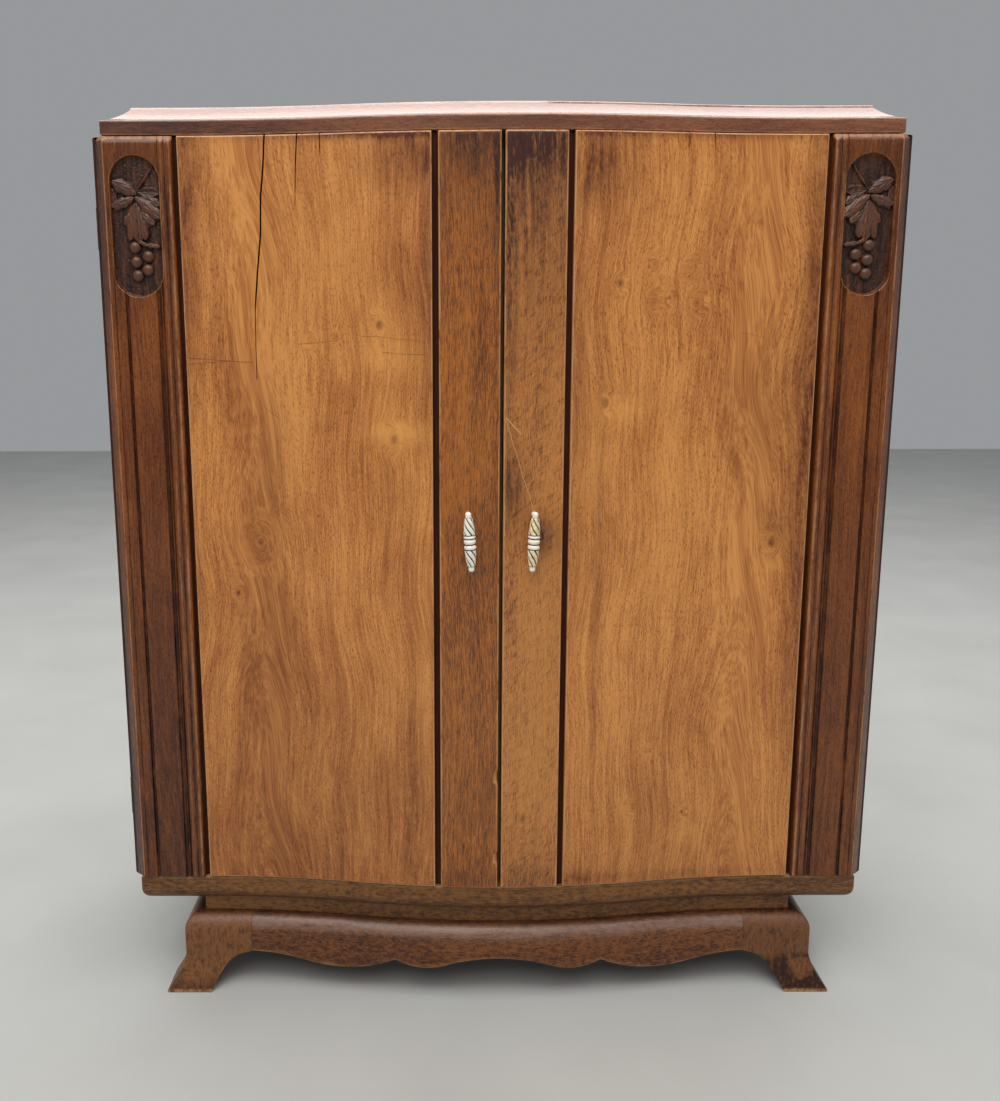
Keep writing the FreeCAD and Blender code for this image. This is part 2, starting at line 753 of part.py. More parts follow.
def pilaster_plan(side):
    """Plan of a pilaster: chamfered inner arris, beads, flutes and canted outer face."""
    face = d.front_plane
    steps = [(d.pilaster_inner * side, face + d.core_front), (d.pilaster_inner * side, face + 5),
             ((d.pilaster_inner + 4) * side, face + 1.5)]
    for low, high, depth in PILASTER_GROOVES:
        steps += [(low * side, face), (low * side, face + depth),
                  (high * side, face + depth), (high * side, face)]
    steps += [(d.pilaster_arris * side, face),
              ((d.pilaster_arris + d.core_front) * side, face + d.core_front)]
    return steps


def core_plan(side):
    """Plan of a door core: bowed front, canted outer edge that carries on the pilaster's, bowed back."""
    face = d.front_plane
    cant = d.pilaster_arris + d.cant_depth
    front = bowed_run(d.door_gap * side, (d.pilaster_arris + d.core_front) * side, d.core_front)
    back = bowed_run(d.door_half * side, d.door_gap * side, d.core_back)
    return front + [(cant * side, face + d.cant_depth)] + back


def make_pilaster(side, end):
    """The fluted pilaster with its carved cartouche."""
    body = slab(f"pilaster_{end}_body", pilaster_plan(side), d.door_bottom, d.door_top)
    chamfer = sketch_on(body, f"pilaster_{end}_chamfer", "YZ_Plane", 500 * side)
    face = d.front_plane
    cut = d.pilaster_chamfer
    draw(chamfer, [(face - 1, d.door_top + 1), (face - 1, d.door_top - cut - 1),
                   (face + cut * 0.6, d.door_top + 1)])
    pocket(body, chamfer, 170, flip=side > 0)
    recess = sketch_on(body, f"pilaster_{end}_recess", "XZ_Plane", -face + 1)
    centre = d.carving_centre * side
    half = d.carving_width * 0.5
    straight = (d.carving_height - d.carving_width) * 0.5
    top = d.carving_level + straight
    bottom = d.carving_level - straight
    draw(recess, [(centre - half, bottom), (centre + half, bottom, (centre, bottom - half)),
                  (centre + half, top), (centre - half, top, (centre, top + half))])
    pocket(body, recess, d.carving_depth + 1)
    for name, outline in (("leaf", LEAF), ("stem", STEM)):
        relief = sketch_on(body, f"pilaster_{end}_{name}", "XZ_Plane", -face - d.carving_depth)
        draw(relief, [(centre + side * x, d.carving_level + z) for x, z in outline])
        pad(body, relief, d.leaf_height)
    for number, (x, z) in enumerate(GRAPES):
        grape = body.newObject("PartDesign::AdditiveSphere", f"pilaster_{end}_grape_{number}")
        grape.setExpression("Radius", d.grape_radius.text)
        origin = next(item for item in body.Origin.OriginFeatures if item.Role == "XY_Plane")
        grape.AttachmentSupport = [(origin, "")]
        grape.MapMode = "FlatFace"
        grape.setExpression("AttachmentOffset.Base.x", (centre + side * x).text)
        grape.setExpression("AttachmentOffset.Base.y", (face + d.carving_depth).text)
        grape.setExpression("AttachmentOffset.Base.z", (d.carving_level + z).text)
    trim = sketch_on(body, f"pilaster_{end}_trim", "XZ_Plane", -face - d.core_front)
    floor, ceiling = bottom - half, top + half
    draw(trim, [(centre - half, floor), (centre + half, floor), (centre + half, ceiling),
                (centre - half, ceiling)])
    pocket(body, trim, d.grape_radius)
    return keep(f"pilaster_{end}", body)


def make_handle(side, end, stile_y):
    """A turned pull and its two posts, with the y of its axis."""
    spindle = new_body(f"handle_{end}_spindle")
    sketch = sketch_on(spindle, f"handle_{end}_profile", "XZ_Plane")
    lower = [(radius, -rise) for radius, rise in HANDLE_PROFILE[::-1]]
    draw(sketch, HANDLE_PROFILE + lower)
    turned = spindle.newObject("PartDesign::Revolution", f"handle_{end}_turned")
    turned.Profile = sketch
    turned.ReferenceAxis = (sketch, ["V_Axis"])
    turned.Angle = 360
    axis = d.handle_front + d.ring_radius
    post_length = stile_y - axis
    posts = [cylinder(f"handle_{end}_post_{number}", d.handle_post_radius, post_length, 0, 0, rise, ALONG_Y)
             for number, rise in enumerate((-d.handle_post, d.handle_post))]
    return joined(f"handle_{end}_whole", [spindle] + posts), axis


for side, end in ((-1, "left"), (1, "right")):
    levels = (d.door_bottom, d.door_top)
    stile_y = on_bow(d.handle_offset - 8, 0)[1]
    screws = hinge_screws(f"door_{end}_screw", side, -1)
    keep(f"hinge_screws_{end}", screws)
    moving = hinge_leaves(f"door_{end}", side, -1, (1, 3), d.pin_radius)
    keep(f"moving_leaves_{end}", less(f"door_{end}_drilled", moving, screws))
    pins = [cylinder(f"hinge_pin_{end}_{level_name}", d.pin_radius, d.hinge_height,
                     d.hinge_offset * side, axis_y, level - d.hinge_height * 0.5)
            for level_name, level in HINGE_LEVELS]
    keep(f"hinge_pins_{end}", joined(f"hinge_pins_{end}_pair", pins))

    whole, axis = make_handle(side, end, stile_y)
    lean = FreeCAD.Rotation(FreeCAD.Vector(0, 1, 0), HANDLE_TILTS[side])
    whole.Placement = FreeCAD.Placement(FreeCAD.Vector(), lean)
    move(whole, d.handle_offset * side, axis, d.handle_level)

    handle_screws = []
    back_y = on_bow(d.handle_offset, d.core_back)[1] + 0.2
    for number, rise in enumerate((-1, 1)):
        angle = math.radians(HANDLE_TILTS[side])
        x = d.handle_offset * side + SIZES["handle_post"] * rise * math.sin(angle)
        z = d.handle_level + SIZES["handle_post"] * rise * math.cos(angle)
        head = cylinder(f"handle_{end}_screw_head_{number}", 4.5, 2.5, x, back_y, z, ALONG_Y)
        shank = cylinder(f"handle_{end}_screw_shank_{number}", 2.0, back_y - stile_y + 10, x,
                         stile_y - 10, z, ALONG_Y)
        handle_screws.append(joined(f"handle_{end}_screw_{number}", [head, shank]))
    screw_set = keep(f"handle_screws_{end}", joined(f"handle_{end}_screw_set", handle_screws))
    keep(f"handle_{end}", less(f"handle_{end}_drilled", whole, screw_set))

    core = slab(f"core_{end}_body", core_plan(side), *levels)
    cutter = joined(f"core_{end}_cutter", leaf_mortises(f"door_{end}", side, -1) + [screws, screw_set])
    keep(f"door_core_{end}", less(f"core_{end}_cut", core, cutter))
    stile = bowed_strip(f"stile_{end}_body", d.door_gap * side, d.stile_outer * side, 0, d.core_front,
                        *levels)
    keep(f"stile_{end}", less(f"stile_{end}_drilled", stile, screw_set))
    keep(f"panel_{end}", bowed_strip(f"panel_{end}_body", d.panel_inner * side, d.panel_outer * side,
                                     d.panel_set, d.core_front, *levels))
    make_pilaster(side, end)
    centre = d.catch_offset * side
    strike_y = on_bow(catch_edge, d.core_back)[1]
    board(f"strike_{end}", (centre - half_catch, centre + half_catch),
          (strike_y, strike_y + d.strike_thick), (d.door_top - d.strike_low, d.door_top - d.strike_high),
          ease=0.3)

# ---------------------------------------------------------------- checks and export

doc.recompute()
for item in doc.Objects:
    if "Invalid" in item.State or "Error" in item.State:
        raise RuntimeError(f"{item.Label} failed: {item.State}")
os.makedirs("parts", exist_ok=True)
for label, item in nodes.items():
    shape = item.Shape
    if shape.isNull() or not shape.isValid():
        raise RuntimeError(f"{label} has no valid shape")
    shape.exportStep(os.path.join("parts", f"{label}.step"))
    box = shape.BoundBox
    print(f"{label}: {len(shape.Solids)} solids, x {box.XMin:.1f} {box.XMax:.1f}, "
          f"y {box.YMin:.1f} {box.YMax:.1f}, z {box.ZMin:.1f} {box.ZMax:.1f}")
print(len(nodes), "pieces")
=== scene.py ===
"""Finished surfaces of a bow-fronted walnut armoire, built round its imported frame.

Lengths are metres, +Z is up and the front looks towards -Y. The origin is the middle of the
footprint at floor level, and x runs across the front from the left door to the right one.
"""
import logging
import math
from collections.abc import Sequence
from dataclasses import dataclass, field, replace
from enum import Enum
from functools import cache

import bmesh
import bpy
import numpy as np
from mathutils import Matrix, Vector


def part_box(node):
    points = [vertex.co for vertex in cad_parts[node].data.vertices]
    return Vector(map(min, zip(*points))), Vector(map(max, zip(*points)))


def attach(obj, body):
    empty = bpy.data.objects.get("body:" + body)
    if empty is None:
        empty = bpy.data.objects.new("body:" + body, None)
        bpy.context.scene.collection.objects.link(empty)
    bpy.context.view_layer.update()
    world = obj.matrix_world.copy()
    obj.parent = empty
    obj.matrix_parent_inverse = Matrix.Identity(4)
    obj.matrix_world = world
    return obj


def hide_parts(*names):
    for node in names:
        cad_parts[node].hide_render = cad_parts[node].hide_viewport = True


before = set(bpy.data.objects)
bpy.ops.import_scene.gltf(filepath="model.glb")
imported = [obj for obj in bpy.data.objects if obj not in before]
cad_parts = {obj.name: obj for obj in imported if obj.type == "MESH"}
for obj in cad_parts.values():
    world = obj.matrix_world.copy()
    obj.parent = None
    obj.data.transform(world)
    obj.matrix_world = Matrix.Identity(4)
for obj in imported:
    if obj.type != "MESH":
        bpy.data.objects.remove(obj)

LOG = logging.getLogger("armoire")
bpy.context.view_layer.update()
MM = 0.001
GRAIN_MAP = "grain"
RING_WIDTH = 11 * MM
SIDES = {"left": -1, "right": 1}
Array = np.ndarray
Pairs = tuple[tuple[float, float], ...]
Triples = tuple[tuple[float, float, float], ...]
Object = bpy.types.Object
Material = bpy.types.Material
Tree = bpy.types.NodeTree
Socket = bpy.types.NodeSocket
Value = float | Sequence[float] | Socket


# ---------------------------------------------------------------- numbers and curves

def rounding(distance: Array, radius: Array | float) -> Array:
    """Give how far a rounded arris falls back, at a distance in from the edge.

    The arris is a quarter circle: radius - sqrt(radius^2 - (radius - distance)^2).

    Args:
        distance: Distance in from the edge, in metres.
        radius: Radius of the arris, in metres.

    Returns:
        The fall at each place: the radius at the edge, and nothing past the radius.
    """
    short = radius - np.clip(distance, 0.0, radius)
    return radius - np.sqrt(np.maximum(np.square(radius) - np.square(short), 0.0))


def smooth(value: Array, low: float, high: float) -> Array:
    """Rise from 0 at low to 1 at high along 3t^2 - 2t^3."""
    share = np.clip((value - low) / (high - low), 0.0, 1.0)
    return share * share * (3.0 - 2.0 * share)


def bell(value: Array, middle: float, width: float) -> Array:
    """A bell of height 1: exp(-((value - middle) / width)^2)."""
    return np.exp(-np.square((value - middle) / width))


def stations(low: float, high: float, step: float, ease: float = 0.0,
             extra: Sequence[float] | Array = ()) -> Array:
    """Give rising places for a grid's lines, closer together near both ends.

    Args:
        low: First place.
        high: Last place.
        step: Largest gap wanted.
        ease: Length at each end where the lines crowd as 1 - cos does, for a rounded arris.
        extra: More places to include.

    Returns:
        The places in rising order, with no two the same.
    """
    crowd = ease * (1.0 - np.cos(np.linspace(0.0, math.pi / 2, 6)))
    inner = np.linspace(low + ease, high - ease, max(2, math.ceil((high - low) / step) + 1))
    places = np.concatenate([low + crowd, inner, high - crowd, np.asarray(extra, float)])
    return np.unique(np.round(places[(places >= low) & (places <= high)], 7))


def arc_through(places: Array, start: Sequence[float], via: Sequence[float], end: Sequence[float]) -> Array:
    """Height at each place of the circle through three points.

    The centre is where the two chords' perpendicular bisectors meet, and the height is the
    centre's plus or minus sqrt(radius^2 - (place - centre)^2), on the side that holds via.

    Args:
        places: Where the heights are wanted.
        start: First point of the arc (place, height).
        via: A point between the two ends.
        end: Last point.

    Returns:
        The height at each place.
    """
    chords = np.array([np.subtract(via, start), np.subtract(end, via)])
    middles = np.array([np.add(via, start), np.add(end, via)]) / 2
    centre = np.linalg.solve(chords, np.sum(chords * middles, axis=1))
    radius = np.hypot(*np.subtract(start, centre))
    rise = np.sqrt(np.maximum(radius ** 2 - np.square(places - centre[0]), 0.0))
    return centre[1] + rise * np.sign(via[1] - centre[1])


def speckle(x: Array, z: Array, size: float, seed: int) -> Array:
    """Smooth random relief between 0 and 1: random heights on a lattice, blended between its points.

    Args:
        x: Places across, in metres, above nothing.
        z: Heights, in metres, above nothing.
        size: Gap between the lattice points, in metres.
        seed: Seed of the random heights.

    Returns:
        The relief at each point.
    """
    heights = np.random.default_rng(seed).random((64, 64))
    across, up = x / size, z / size
    column, row = np.floor(across).astype(int), np.floor(up).astype(int)
    right, top = smooth(across - column, 0.0, 1.0), smooth(up - row, 0.0, 1.0)
    corner = [heights[(row + i) % 64, (column + j) % 64] for i in (0, 1) for j in (0, 1)]
    low = corner[0] * (1 - right) + corner[1] * right
    high = corner[2] * (1 - right) + corner[3] * right
    return low * (1 - top) + high * top


@dataclass(frozen=True)
class Bow:
    """Plan of the front: a convex arc between two reverse arcs of the same radius, flat beyond them."""

    plane: float
    depth: float
    turn: float = 0.258
    start: float = 0.516

    @property
    def radius(self) -> float:
        """Radius of the three arcs, each of which rises half the depth."""
        half = self.depth / 2
        return (self.turn ** 2 + half ** 2) / (2 * half)

    def forward(self, x: Array) -> Array:
        """How far the bow stands out at x: depth - R + sqrt(R^2 - x^2), then R - sqrt(R^2 - rest^2).

        Args:
            x: Places across, in metres.

        Returns:
            The distance in front of the plane, in metres.
        """
        reach = np.abs(x)
        rest = np.clip(self.start - reach, 0.0, self.turn)
        near = np.minimum(reach, self.turn)
        crown = self.depth - self.radius + np.sqrt(self.radius ** 2 - np.square(near))
        skirt = self.radius - np.sqrt(self.radius ** 2 - np.square(rest))
        return np.where(reach <= self.turn, crown, skirt)

    def face(self, x: Array, set_back: Array | float = 0.0) -> Array:
        """y of the bowed face at x, set back by a length."""
        return self.plane + set_back - self.forward(x)


BOW = Bow(plane=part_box("pilaster_left")[0][1],
          depth=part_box("pilaster_left")[0][1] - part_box("stile_left")[0][1])


# ---------------------------------------------------------------- meshes

@dataclass
class Skin:
    """A closed tube of rings: points (rings, around, 3), its grain map and its marks.

    The grain map holds metres across and along the grain. Each mark is one number for each
    point, from 0 for none to 1 for full.
    """

    points: Array
    grain: Array
    marks: dict[str, Array] = field(default_factory=dict)

    def faces(self, first: int) -> list[list[int]]:
        """Quads between each ring and the next, and one flat face at each end.

        Args:
            first: Number of the skin's first point in the mesh.

        Returns:
            Each face as the numbers of its points.
        """
        rows, around = self.points.shape[:2]
        index = first + np.arange(rows * around).reshape(rows, around)
        low, high = index[:-1], index[1:]
        quads = np.stack([low, np.roll(low, -1, 1), np.roll(high, -1, 1), high], -1)
        return quads.reshape(-1, 4).tolist() + [index[0].tolist(), index[-1].tolist()]


def build_piece(name: str, skins: Sequence[Skin], crease: float = 38.0) -> Object:
    """Make one object of closed skins, with its faces outward, its grain map and its marks.

    Args:
        name: Name of the piece.
        skins: The skins that it is made of.
        crease: Angle in degrees above which an edge stays sharp.

    Returns:
        The new object, at the origin.
    """
    points = np.concatenate([skin.points.reshape(-1, 3) for skin in skins])
    firsts = np.cumsum([0] + [skin.points.shape[0] * skin.points.shape[1] for skin in skins])
    faces = [face for skin, first in zip(skins, firsts) for face in skin.faces(int(first))]
    mesh = bpy.data.meshes.new(name)
    mesh.from_pydata(points.tolist(), [], faces)
    shape = bmesh.new()
    shape.from_mesh(mesh)
    bmesh.ops.recalc_face_normals(shape, faces=shape.faces)
    shape.to_mesh(mesh)
    shape.free()
    mesh.shade_smooth()
    mesh.set_sharp_from_angle(angle=math.radians(crease))
    grain = np.concatenate([skin.grain.reshape(-1, 2) for skin in skins])
    corner = np.empty(len(mesh.loops), int)
    mesh.loops.foreach_get("vertex_index", corner)
    mesh.uv_layers.new(name=GRAIN_MAP).data.foreach_set("uv", grain[corner].ravel())
    for mark in sorted({mark for skin in skins for mark in skin.marks}):
        values = [skin.marks.get(mark, np.zeros(skin.points.shape[:2])).ravel() for skin in skins]
        mesh.attributes.new(mark, "FLOAT", "POINT").data.foreach_set("value", np.concatenate(values))
    piece = bpy.data.objects.new(name, mesh)
    bpy.context.collection.objects.link(piece)
    return piece


def close_back(front: Array, grain: Array, marks: dict[str, Array], back: float) -> Skin:
    """Join a bowed front relief to a plain back, so that each row of the grid becomes a ring.

    The back's points follow the bow at one set back, from the front's last column to its first.

    Args:
        front: Points of the front, one row of the grid for each height.
        grain: Places across and along the grain for those points.
        marks: Marks of those points.
        back: Set back of the plain back, in metres.

    Returns:
        The closed skin.
    """
    share = np.linspace(0.0, 1.0, 14)[None, :]
    x = front[:, -1:, 0] * (1 - share) + front[:, :1, 0] * share
    z = np.repeat(front[:, :1, 2], x.shape[1], axis=1)
    rear = np.stack([x, BOW.face(x, back), z], -1)
    rear_grain = np.stack([x, z], -1)
    plain = np.zeros_like(x)
    marks = {mark: np.concatenate([values, plain], 1) for mark, values in marks.items()}
    return Skin(np.concatenate([front, rear], 1), np.concatenate([grain, rear_grain], 1), marks)


def plan_rings(half: float, set_back: float, back: float, z: Array, inset: Array) -> Skin:
    """Rings of a bowed board at each height: bowed front, straight sides and back.

    The front and the sides are drawn in by the inset, and the back stays. Grain runs across.

    Args:
        half: Half the board's length.
        set_back: Set back of its front from the bowed face.
        back: y of its back edge.
        z: Heights of the rings.
        inset: How far each ring is drawn in.

    Returns:
        The board's skin.
    """
    inset = inset[:, None]
    share = np.linspace(-1.0, 1.0, 201)[None, :]
    front_x = share * (half - inset)
    front_y = BOW.face(front_x, set_back + inset)
    side = np.linspace(0.0, 1.0, 9)[None, 1:]
    right_y = front_y[:, -1:] + side * (back - front_y[:, -1:])
    right_x = np.broadcast_to(half - inset, right_y.shape)
    x = np.concatenate([front_x, right_x, -right_x[:, ::-1]], 1)
    y = np.concatenate([front_y, right_y, right_y[:, ::-1]], 1)
    points = np.stack([x, y, np.broadcast_to(z[:, None], x.shape)], -1)
    grain = np.stack([points[..., 2] + y, x], -1)
    return Skin(points, grain)


def fit(piece: Object, body: str, material: Material,
        replaces: Sequence[str] = ()) -> None:
    """Hang a piece on its body and what it stands for, and finish it.

    Args:
        piece: The new piece.
        body: Body that it rides on.
        material: Its finish.
        replaces: Frame nodes that it stands for.
    """
    piece.data.materials.append(material)
    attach(piece, body)
    if replaces:
        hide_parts(*replaces)
    LOG.info("%s: %d faces on %s", piece.name, len(piece.data.polygons), body)


def pair(*kinds: str) -> tuple[str, ...]:
    """Names of the left and the right node of each kind."""
    return tuple(f"{kind}_{end}" for kind in kinds for end in SIDES)


def refinish(nodes: Sequence[str], material: Material) -> None:
    """Give frame nodes a finish in every material slot that they have.

    Args:
        nodes: Names of the nodes.
        material: The finish.
    """
    for name in nodes:
        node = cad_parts[name]
        if not node.material_slots:
            node.data.materials.append(material)
        for place in node.material_slots:
            place.material = material
        LOG.info("%s: refinished as %s", name, material.name)


# ---------------------------------------------------------------- finishes

def linear(colour: str) -> tuple[float, float, float, float]:
    """Turn an sRGB hex colour into linear light with full alpha.

    Args:
        colour: The colour as #rrggbb.

    Returns:
        Red, green, blue and alpha.
    """
    parts = [int(colour[place:place + 2], 16) / 255 for place in (1, 3, 5)]
    light = [part / 12.92 if part <= 0.04045 else ((part + 0.055) / 1.055) ** 2.4 for part in parts]
    return (*light, 1.0)


def add(tree: Tree, kind: str, *values: Value | None, out: int | str = 0,
        named: dict[int | str, Value] | None = None, **settings: object) -> Socket:
    """Add a shader node with its settings and inputs.

    Args:
        tree: The material's node tree.
        kind: Node type, without its ShaderNode prefix.
        values: Values or links for the inputs in order; None leaves an input alone.
        out: Output to give back.
        named: Values or links for inputs by name or number.
        settings: Properties of the node.

    Returns:
        The chosen output socket.
    """
    node = tree.nodes.new("ShaderNode" + kind)
    for name, setting in settings.items():
        setattr(node, name, setting)
    for key, value in [*enumerate(values), *(named or {}).items()]:
        if isinstance(value, Socket):
            tree.links.new(value, node.inputs[key])
        elif value is not None:
            node.inputs[key].default_value = value
    return node.outputs[out]


def mix(tree: Tree, share: Socket, first: Value, second: Value, blend: str = "MIX") -> Socket:
    """Blend two colours by a share, from the first at 0 to the second at 1."""
    return add(tree, "Mix", named={0: share, 6: first, 7: second}, out=2, data_type="RGBA",
               blend_type=blend)


def new_material(name: str) -> tuple[Material, Tree, bpy.types.Node]:
    """Start a material, and give it with its node tree and its main shader.

    Args:
        name: Name of the material.

    Returns:
        The material, its node tree and its shader.
    """
    material = bpy.data.materials.new(name)
    material.use_nodes = True
    return material, material.node_tree, material.node_tree.nodes["Principled BSDF"]


class Grain(Enum):
    """Which way a finish's grain runs, as the turn that brings it onto the pattern's y axis."""

    MAPPED = None
    UPRIGHT = (-math.pi / 2, 0.0, 0.0)
    ACROSS = (0.0, 0.0, math.pi / 2)
    DEEP = (0.0, 0.0, 0.0)


@dataclass(frozen=True)
class Fibre:
    """One scale of streaks in the wood: its width and length in millimetres, and how strongly it shows."""

    width: float
    length: float
    low: float
    high: float
    amount: float
    detail: float = 2.0
    turn: float = 0.0


@dataclass(frozen=True)
class Mark:
    """A tint laid where a point mark runs from low to high, with the most that it covers."""

    name: str
    tint: str
    low: float
    high: float
    limit: float = 1.0
    blend: str = "MIX"


@dataclass(frozen=True)
class Scratch:
    """A fine line in the finish between two places (x, z), with its width in millimetres."""

    start: tuple[float, float]
    end: tuple[float, float]
    tint: str
    width: float = 1.6
    strength: float = 0.7


@dataclass(frozen=True)
class Wood:
    """A varnished wood: three colours from pale to dark, streaks at several scales, rings, rubbed varnish
    and marks, some of which are painted shade and painted highlights.

    Walnut has brown heartwood whose growth rings show as soft lines, short dark pores along the
    grain and a slow drift between golden and umber. The varnish gives it a satin gloss.
    """

    name: str
    pale: str
    body: str
    dark: str
    grain: Grain = Grain.MAPPED
    fibres: tuple[Fibre, ...] = ()
    ring_amount: float = 0.0
    # The pale arris tint also colours painted highlights, the multiplied dark tint painted shade, and the
    # glow tint painted sheen and highlights.
    wear_and_highlight_tint: str = "#b98455"
    stain: str = "#6a4535"
    glow: str = "#c98f4f"
    glow_limit: float = 0.6
    roughness: float = 0.4
    coat: float = 0.25
    coat_roughness: float = 0.22
    coat_ior: float = 1.5
    specular: float = 0.4
    tone: float = 0.5
    relief: float = 0.12
    seed: float = 0.0
    scratches: tuple[Scratch, ...] = ()

    def layer(self, tree: Tree, place: Socket, fibre: Fibre) -> Socket:
        """Noise stretched along the grain, spread to -0.5..0.5 between its low and high.

        Args:
            tree: The material's node tree.
            place: The point in the pattern.
            fibre: Size and strength of the streaks.

        Returns:
            The streaks.
        """
        size = (1 / (fibre.width * MM), 1 / (fibre.length * MM), 1 / (fibre.width * MM))
        if fibre.turn:
            place = add(tree, "Mapping", place, named={"Rotation": (0.0, 0.0, fibre.turn)})
        scaled = add(tree, "VectorMath", place, size, operation="MULTIPLY")
        noise = add(tree, "TexNoise", named={"Vector": scaled, "Scale": 1.0, "Detail": fibre.detail,
                                             "Roughness": 0.6})
        return add(tree, "MapRange", noise, fibre.low, fibre.high, -0.5, 0.5)

    def rings(self, tree: Tree, place: Socket) -> Socket:
        """Growth rings: the width across the grain, in rings, drifts darker and steps back to pale.

        Args:
            tree: The material's node tree.
            place: The point in the pattern.

        Returns:
            The darkness that the rings add.
        """
        wander = self.layer(tree, place, Fibre(30.0, 260.0, 0.3, 0.7, 1.0))
        across = add(tree, "SeparateXYZ", place, out="X")
        count = add(tree, "Math", across, 1 / RING_WIDTH, wander, operation="MULTIPLY_ADD")
        share = add(tree, "Math", count, operation="FRACT")
        late = add(tree, "MapRange", share, 0.35, 0.93, -0.4, 0.6, interpolation_type="SMOOTHSTEP")
        early = add(tree, "MapRange", share, 0.93, 1.0, 1.0, 0.0)
        return add(tree, "Math", late, early, operation="MULTIPLY")

    def mark(self, tree: Tree, colour: Socket, breakup: Socket, mark: Mark) -> Socket:
        """Lay a mark's tint over the wood where its amount, times 1 + breakup, passes from low to high.

        Args:
            tree: The material's node tree.
            colour: The colour so far.
            breakup: Noise that makes its edge ragged.
            mark: The mark.

        Returns:
            The colour with the mark.
        """
        amount = add(tree, "Attribute", attribute_name=mark.name, out="Fac")
        ragged = add(tree, "Math", amount, breakup, amount, operation="MULTIPLY_ADD")
        share = add(tree, "MapRange", ragged, mark.low, mark.high, 0.0, mark.limit)
        return mix(tree, share, colour, linear(mark.tint), mark.blend)

    def scratch(self, tree: Tree, colour: Socket, place: Socket, scratch: Scratch) -> Socket:
        """Draw a hair scratch: 1 where a point is within half a width of the line, and between its ends.

        Args:
            tree: The material's node tree.
            colour: The colour so far.
            place: The point on the piece, bent a little.
            scratch: The scratch.

        Returns:
            The colour with the scratch.
        """
        start, end = np.array(scratch.start), np.array(scratch.end)
        along = (end - start) / np.hypot(*(end - start))
        side = np.array([-along[1], along[0]])
        middle = (start + end) / 2
        share: Value = scratch.strength
        for way, reach in ((side, scratch.width * MM / 2), (along, np.hypot(*(end - start)) / 2)):
            offset = add(tree, "VectorMath", place, (way[0], 0.0, way[1]), out="Value",
                         operation="DOT_PRODUCT")
            near = add(tree, "Math", offset, float(way @ middle), reach, operation="COMPARE")
            share = add(tree, "Math", near, share, operation="MULTIPLY")
        return mix(tree, share, colour, linear(scratch.tint))

    def place(self, tree: Tree, source: Socket) -> Socket:
        """The point in the pattern, with y along the grain, moved so that no two woods are cut alike.

        Args:
            tree: The material's node tree.
            source: The point on the piece.

        Returns:
            The point in the pattern.
        """
        if self.grain is Grain.MAPPED:
            place = add(tree, "UVMap", uv_map=GRAIN_MAP)
        else:
            place = add(tree, "Mapping", source, named={"Rotation": self.grain.value})
        offset = (0.37 * self.seed, 1.3 * self.seed, 0.71 * self.seed)
        return add(tree, "VectorMath", place, offset, operation="ADD")

    def depth(self, tree: Tree, place: Socket) -> Socket:
        """Darkness from 0 to 1: the tone, the streaks of each fibre and the rings, added up.

        Args:
            tree: The material's node tree.
            place: The point in the pattern.

        Returns:
            The darkness.
        """
        depth: Value = self.tone
        for fibre in self.fibres:
            layer = self.layer(tree, place, fibre)
            depth = add(tree, "Math", layer, fibre.amount, depth, operation="MULTIPLY_ADD")
        if self.ring_amount:
            ring = self.rings(tree, place)
            depth = add(tree, "Math", ring, self.ring_amount, depth, operation="MULTIPLY_ADD")
        return depth

    def aged(self, tree: Tree, colour: Socket, breakup: Socket, source: Socket) -> Socket:
        """Lay the marks and then the hair scratches over the wood's own colour.

        Args:
            tree: The material's node tree.
            colour: The wood's own colour.
            breakup: Noise that makes the edges of the marks ragged.
            source: The point on the piece.

        Returns:
            The finished colour.
        """
        # Besides real stains and rubbed varnish, these marks carry painted light on some pieces: glow lays
        # painted sheen and highlights, the multiplied dark mark painted shade, and the pale arris mark
        # painted highlights.
        marks = (Mark("glow", self.glow, 0.05, 1.2, self.glow_limit),
                 Mark("stain", self.stain, 0.0, 1.1, 1.0, "MULTIPLY"),
                 Mark("wear", self.wear_and_highlight_tint, 0.35, 0.85, 0.9),
                 Mark("split", "#0d0502", 0.2, 0.5))
        for mark in marks:
            colour = self.mark(tree, colour, breakup, mark)
        if self.scratches:
            wander = add(tree, "TexNoise", named={"Vector": source, "Scale": 30.0}, out="Color")
            bent = add(tree, "VectorMath", wander, (0.006, 0.0, 0.006), source, operation="MULTIPLY_ADD")
            for scratch in self.scratches:
                colour = self.scratch(tree, colour, bent, scratch)
        return colour

    @cache
    def make(self) -> Material:
        """Build the material, once for each wood.

        Returns:
            The material.
        """
        material, tree, shader = new_material(self.name)
        source = add(tree, "TexCoord", out="Object")
        place = self.place(tree, source)
        depth = self.depth(tree, place)
        ramp = add(tree, "ValToRGB", depth)
        steps = ramp.node.color_ramp
        steps.elements[0].color = linear(self.pale)
        steps.elements[1].color = linear(self.dark)
        steps.elements.new(0.5).color = linear(self.body)
        patchy = self.layer(tree, place, Fibre(9.0, 90.0, 0.3, 0.7, 1.0, 4.0))
        grit = self.layer(tree, place, Fibre(4.0, 13.0, 0.3, 0.7, 1.0, 4.0))
        breakup = add(tree, "Math", grit, 0.7, patchy, operation="MULTIPLY_ADD")
        gloss = add(tree, "MapRange", grit, -0.5, 0.5, self.roughness - 0.06, self.roughness + 0.08)
        bump = add(tree, "Bump", named={"Strength": 0.5, "Distance": self.relief * MM, "Height": depth},
                   invert=True)
        tree.links.new(self.aged(tree, ramp, breakup, source), shader.inputs["Base Color"])
        tree.links.new(gloss, shader.inputs["Roughness"])
        tree.links.new(bump, shader.inputs["Normal"])
        for name, amount in (("Specular IOR Level", self.specular), ("Coat Weight", self.coat),
                             ("Coat Roughness", self.coat_roughness), ("Coat IOR", self.coat_ior)):
            shader.inputs[name].default_value = amount
        return material


